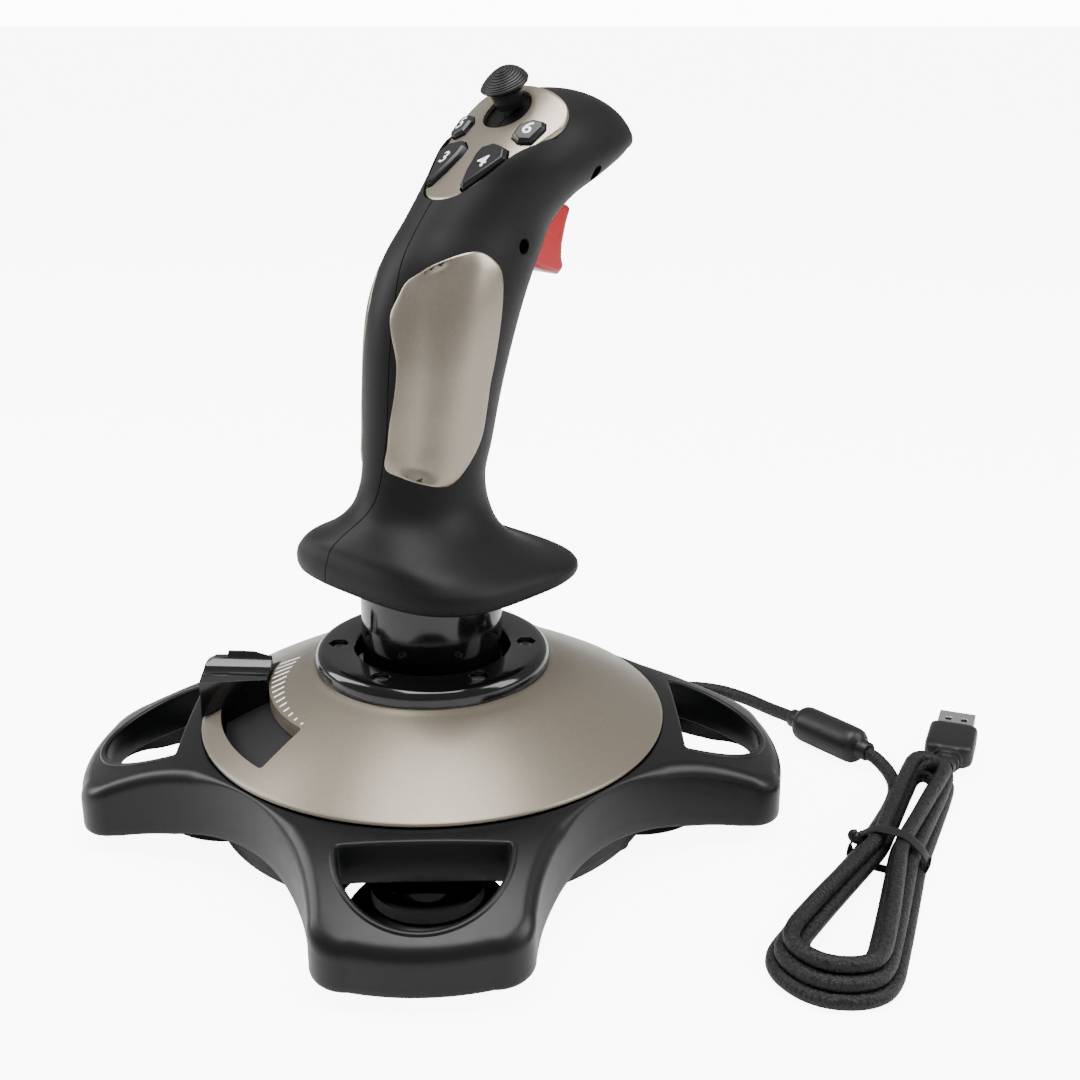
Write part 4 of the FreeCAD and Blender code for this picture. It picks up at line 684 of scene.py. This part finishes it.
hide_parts("hat_cap")

# side panels
SP = [(-4.8, 169.0), (-1.3, 171.4), (2.9, 173.7), (9.3, 175.9), (13.8, 176.7), (17.1, 176.1), (20.2, 173.8), (22.2, 170.6), (22.6, 164.9), (21.8, 156.1), (20.0, 145.3), (18.6, 139.0), (17.6, 132.5), (16.0, 123.9), (13.1, 117.9), (7.8, 111.9), (3.5, 111.0), (-1.1, 112.1), (-7.5, 114.2), (-12.3, 116.5), (-11.5, 123.0), (-10.7, 129.5), (-9.0, 138.3), (-8.2, 146.9), (-9.4, 154.9), (-9.5, 160.1), (-7.1, 165.2)]
SPC = smooth_closed(SP, 260)
A42 = math.radians(42); HD = np.array([math.cos(-A42), math.sin(-A42), 0]); HTD = np.array([math.sin(A42), math.cos(A42), 0])
from mathutils.bvhtree import BVHTree
bvh = BVHTree.FromPolygons([Vector(v) for v in Vg], [tuple(int(i) for i in f) for f in Fg])
def on_grip(s, z, dy=0.0):
    for k in range(24):
        o = HTD * s + HD * 80 + np.array([0, dy, z])
        hit = bvh.ray_cast(Vector(o), Vector(-HD))
        if hit[0] is not None and abs(hit[1].dot(Vector(HD))) > 0.22: break
        s += 0.4 if s < 5.5 else -0.4
    if hit[0] is None: hit = bvh.find_nearest(Vector(HTD * s + HD * 18 + np.array([0, dy, z])))
    return np.array(hit[0]), np.array(hit[1])
VAL_Z = [105, 112, 125, 150, 175, 185]
def valley(s, z):
    sc = np.interp(z, [108, 120, 140, 158, 170, 180], [-3.5, -2.2, 0.6, 2.6, 4.2, 5.0])
    w = np.interp(z, [108, 125, 150, 180], [4.2, 4.6, 5.0, 5.0])
    d = (s - sc) / w
    return -1.5 * math.exp(-d * d) + 0.35 * math.exp(-(d + 1.9) ** 2) + 0.35 * math.exp(-(d - 1.9) ** 2)
def side_panel(name, right, shift):
    c0 = np.array([5.5, 145.0]); rws = []
    steps = [(1.0, -1.2), (1.0, -0.35), (0.996, -0.05), (0.988, 0.14), (0.974, 0.22)] + [(f, 0.22) for f in np.linspace(0.94, 0.04, 26)]
    cache = []
    for f, dh in steps:
        row = []
        for s, z in (SPC - c0) * f + c0:
            p, nn = on_grip(s, z, shift)
            if nn @ HD < 0: nn = -nn
            edge = min(1.0, (1.0 - f) / 0.10)
            p = p + nn * (dh + valley(s, z) * edge * edge * (3 - 2 * edge))
            row.append(p)
        rws.append(row)
    p, nn = on_grip(c0[0], c0[1], shift)
    if nn @ HD < 0: nn = -nn
    V_ = np.vstack(rws + [[p + nn * (0.22 + valley(*c0))]])
    n = len(SPC); F_ = list(grid_faces(len(rws), n)) + [((len(rws) - 1) * n + i, (len(rws) - 1) * n + (i + 1) % n, len(rws) * n) for i in range(n)]
    if not right:
        V_ = V_ * np.array([-1, 1, 1])
        F_ = [f[::-1] for f in F_]
    return mesh_obj(name, V_, F_, "panel_champagne", 50, "grip")
spr = side_panel("side_panel_right_skin", True, 0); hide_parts("side_panel_right")
spl = side_panel("side_panel_left_skin", False, 6.0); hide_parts("side_panel_left")

def inside_poly(P, q):
    x, y = q[:, 0], q[:, 1]; c = np.zeros(len(q), bool); n = len(P)
    for i in range(n):
        x1, y1 = P[i]; x2, y2 = P[(i + 1) % n]
        if y1 == y2: continue
        k = ((y1 > y) != (y2 > y)) & (x < (x2 - x1) * (y - y1) / (y2 - y1) + x1)
        c ^= k
    return c
Vr = Vg.copy()
for side in (1, -1):
    W_ = Vg * np.array([side, 1, 1]) - (np.array([0, 6.0, 0]) if side < 0 else 0)
    sq = np.column_stack([W_ @ HTD, W_[:, 2]])
    hit = inside_poly((SPC - np.array([5.5, 145.0])) * 0.955 + np.array([5.5, 145.0]), sq) & ((W_ @ HD) > 2.0) & (W_[:, 0] > 1.5)
    cen_ = np.array([0, 8.0, 0])
    for k in np.where(hit)[0]:
        d = np.array([Vg[k][0], Vg[k][1] - 8.0, 0.0]); Vr[k] = Vg[k] - d / np.linalg.norm(d) * 1.7
for nm, sg in (("right", 1), ("left", -1)):
    g = mesh_obj("grip_%s_skin" % nm, Vr, Fg, "soft_black", 30, "grip")
    cs = [pocket_cutter()] + half_cutter(sg)
    cs.append(temp_obj("c", *prism_mesh([(-7, 30, 161.5), (7, 30, 161.5), (7, 70, 161.5), (-7, 70, 161.5)], [(-7, 30, 188.5), (7, 30, 188.5), (7, 70, 188.5), (-7, 70, 188.5)])))
    if sg > 0: cs += [cylx(52.0, 194.6, 2.3, 12.0, 40.0), cylx(22.6, 176.2, 2.3, 12.0, 40.0)]
    boolean(g, cs, angle=28)
    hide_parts("grip_%s_shell" % nm)

# trigger
TRI = [(35.5, 186.0), (45.0, 187.6), (56.5, 183.4), (54.4, 178.6), (52.6, 172.6), (52.4, 168.6), (53.4, 165.2), (50.6, 163.4), (44.5, 165.2), (38.6, 167.4), (36.8, 175.0)]
V_, F_ = prism_mesh([(-6.2, y, z) for y, z in TRI], [(6.2, y, z) for y, z in TRI])
trg = mesh_obj("trigger_blade", V_, F_, "trigger_red", 30, "trigger_lever")
md = trg.modifiers.new("bev", "BEVEL"); md.width = 0.0016; md.segments = 3; md.limit_method = "ANGLE"; md.angle_limit = math.radians(50)
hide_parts("trigger")

# ---------------------------------------------------------------- ferrite bead, gland, plug
b0 = np.array([56, 117.6, 6.3]); b1 = np.array([89.6, 113.4, 6.3]); bl = float(np.linalg.norm(b1 - b0))
bead = revolve("ferrite_barrel", [(2.2, 0.0), (2.9, 0.0), (3.15, 0.3), (3.3, 2.6), (3.5, 3.5), (4.2, 3.9), (5.2, 4.5), (5.9, 5.6), (6.15, 7.0), (6.2, 9.0), (6.2, bl - 9.0), (6.15, bl - 7.0), (5.9, bl - 5.6), (5.2, bl - 4.5), (4.2, bl - 3.9), (3.5, bl - 3.5), (3.3, bl - 2.6), (3.15, bl - 0.3), (2.9, bl), (2.2, bl)], "moulded_black", 96, angle=40, place=axis_place(b0, b1 - b0))
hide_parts("ferrite_bead")
gl = revolve("gland_relief", [(2.2, 6.0), (3.2, 6.0), (3.2, 10.2), (4.2, 10.4), (4.2, 11.9), (3.7, 12.2), (3.55, 15.0), (3.1, 15.4), (2.95, 18.0), (2.7, 18.5), (2.2, 18.5)], "moulded_black", 64, angle=40, place=axis_place((0, 61.6, 9.5), (0, 1, 0)))
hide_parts("cable_gland")

def se_ring(l, w, h, zc, e=3.2, n=72):
    t = np.linspace(0, 2 * math.pi, n, endpoint=False); ct, st = np.cos(t), np.sin(t)
    x = w / 2 * np.abs(ct) ** (2 / e) * np.sign(ct); z = h / 2 * np.abs(st) ** (2 / e) * np.sign(st)
    c = PA + PD * l
    return np.array([c + PS * a + np.array([0, 0, zc - PA[2] + b]) for a, b in zip(x, z)])
pl = float(np.linalg.norm(PB - PA))
st = []
prof_pl = [(-0.5, 5.6, 5.6, 2.0), (0.4, 6.4, 6.2, 2.0), (1.2, 6.8, 6.4, 2.1), (2.0, 6.9, 6.4, 2.2), (2.3, 8.2, 6.9, 2.4), (3.2, 8.4, 7.0, 2.5), (3.5, 7.2, 6.6, 2.5), (4.4, 7.4, 6.7, 2.6), (4.7, 9.6, 7.4, 2.8), (5.7, 9.9, 7.6, 2.8), (6.0, 8.6, 7.2, 3.0), (6.9, 8.9, 7.3, 3.0), (7.4, 11.6, 8.0, 3.4), (8.6, 14.4, 8.5, 4.0), (10.0, 15.6, 8.8, 4.6), (12.0, 16.0, 8.9, 5.0), (pl - 14.5, 16.0, 8.9, 5.0), (pl - 13.0, 15.8, 8.7, 5.0), (pl - 12.5, 15.2, 8.1, 5.0), (pl - 12.4, 14.0, 7.0, 5.0)]
rws = [se_ring(l, w, h, 6.2, e) for l, w, h, e in prof_pl]
V_ = np.vstack(rws); F_ = list(grid_faces(len(rws), 72)) + [tuple(range(72))[::-1], tuple(range((len(rws) - 1) * 72, len(rws) * 72))]
plug = mesh_obj("plug_overmould", V_, F_, "moulded_black", 40, "base")
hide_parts("usb_plug_body")

# twist tie round the bundle
TU = 51.0
cpt = hpt(TU, 0, 0); tie_pts = []
for a in np.linspace(0, 360, 40, endpoint=False):
    t = math.radians(a); e = 3.0
    v = 11.6 * abs(math.cos(t)) ** (2 / e) * (1 if math.cos(t) >= 0 else -1)
    z = 6.75 + 6.35 * abs(math.sin(t)) ** (2 / e) * (1 if math.sin(t) >= 0 else -1)
    z = z - max(0.0, (abs(v) - 4.0)) * 0.5 * (1 if math.sin(t) > 0 else 0)
    tie_pts.append(np.array(hpt(TU, v, z)))
ax = np.array([HA[0], HA[1], 0.0]); V_ = []
rad_off = [(-2.1, 0.0), (-2.0, 0.45), (-1.0, 0.6), (0.0, 0.5), (1.0, 0.6), (2.0, 0.45), (2.1, 0.0), (0.0, -0.2)]
cc = np.array(hpt(TU, 0, 6.4))
for da, dr in rad_off:
    for p in tie_pts:
        out = (p - cc); out = out / np.linalg.norm(out)
        q = p + ax * da + out * (dr + 0.1); q[2] = max(q[2], 0.12); V_.append(q)
tie = mesh_obj("cord_tie", np.array(V_), grid_faces(len(rad_off), 40, True, True), "moulded_black", 60, "base")
kn_c = np.array(hpt(TU, -9.6, 8.8)); V_ = []
rings_k = []
for i, a in enumerate(np.linspace(-80, 80, 9)):
    r = 2.6 * math.cos(math.radians(a)); zz_ = 2.0 * math.sin(math.radians(a))
    rings_k.append([kn_c + np.array([HPERP[0], HPERP[1], 0]) * (r * math.cos(t) * 1.15) + ax * (r * math.sin(t) * 0.8 + 0.3 * math.sin(3 * t)) + np.array([0, 0, zz_ + 0.4 * math.cos(2 * t)]) for t in np.linspace(0, 2 * math.pi, 28, endpoint=False)])
V_ = np.vstack(rings_k); F_ = list(grid_faces(9, 28)) + [tuple(range(28))[::-1], tuple(range(8 * 28, 9 * 28))]
mesh_obj("tie_knot", V_, F_, "moulded_black", 60, "base")

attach(cord, "base"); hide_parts("cord_lead", "cord_link", "cord_hank")
print("cord length m", CORD_LEN, "points", len(CORD_PTS))

# ---------------------------------------------------------------- stage and light
def stage_plane():
    me = bpy.data.meshes.new("floor")
    me.from_pydata([(-80, -80, 0), (80, -80, 0), (80, 80, 0), (-80, 80, 0)], [], [(0, 1, 2, 3)])
    ob = bpy.data.objects.new("floor", me); bpy.context.scene.collection.objects.link(ob)
    m, nt, bs = new_mat("pale_floor")
    tc = nt.nodes.new("ShaderNodeTexCoord"); nn = noise(nt, tc.outputs["Object"], 3.0, 2.0)
    mix = nt.nodes.new("ShaderNodeMix"); mix.data_type = "RGBA"
    mix.inputs[6].default_value = (0.80, 0.80, 0.80, 1); mix.inputs[7].default_value = (0.84, 0.84, 0.84, 1)
    nt.links.new(nn, mix.inputs[0]); nt.links.new(mix.outputs[2], bs.inputs["Base Color"]); bs.inputs["Roughness"].default_value = 0.6
    lp = nt.nodes.new("ShaderNodeLightPath"); bs.inputs["Emission Color"].default_value = (1, 1, 1, 1)
    nt.links.new(ramp(nt, lp.outputs["Is Camera Ray"], 0.0, 8.0), bs.inputs["Emission Strength"])
    me.materials.append(m); return ob
stage_plane()
def area(name, loc, target, size, power, sy=None, col=(1, 1, 1)):
    ld = bpy.data.lights.new(name, "AREA"); ld.shape = "RECTANGLE"; ld.size = size; ld.size_y = sy or size; ld.energy = power; ld.color = col
    ob = bpy.data.objects.new(name, ld); bpy.context.scene.collection.objects.link(ob)
    ob.location = loc; ob.rotation_euler = (Vector(target) - Vector(loc)).to_track_quat("-Z", "Y").to_euler(); return ob
area("key_light", (0.1, -0.1, 1.25), (0.0, 0.0, 0.08), 0.8, 30.0)
area("left_light", (-0.95, -0.55, 0.75), (0, 0, 0.1), 0.45, 17.0, 1.1)
area("right_light", (0.85, 0.55, 0.7), (0, 0, 0.1), 0.45, 14.0, 0.9)
w = bpy.data.worlds.new("studio"); bpy.context.scene.world = w; w.use_nodes = True
bg = w.node_tree.nodes.get("Background"); bg.inputs[0].default_value = (1.0, 1.0, 1.0, 1); bg.inputs[1].default_value = 0.75
lp = w.node_tree.nodes.new("ShaderNodeLightPath")
w.node_tree.links.new(ramp(w.node_tree, lp.outputs["Is Camera Ray"], 0.5, 12.0), bg.inputs[1])
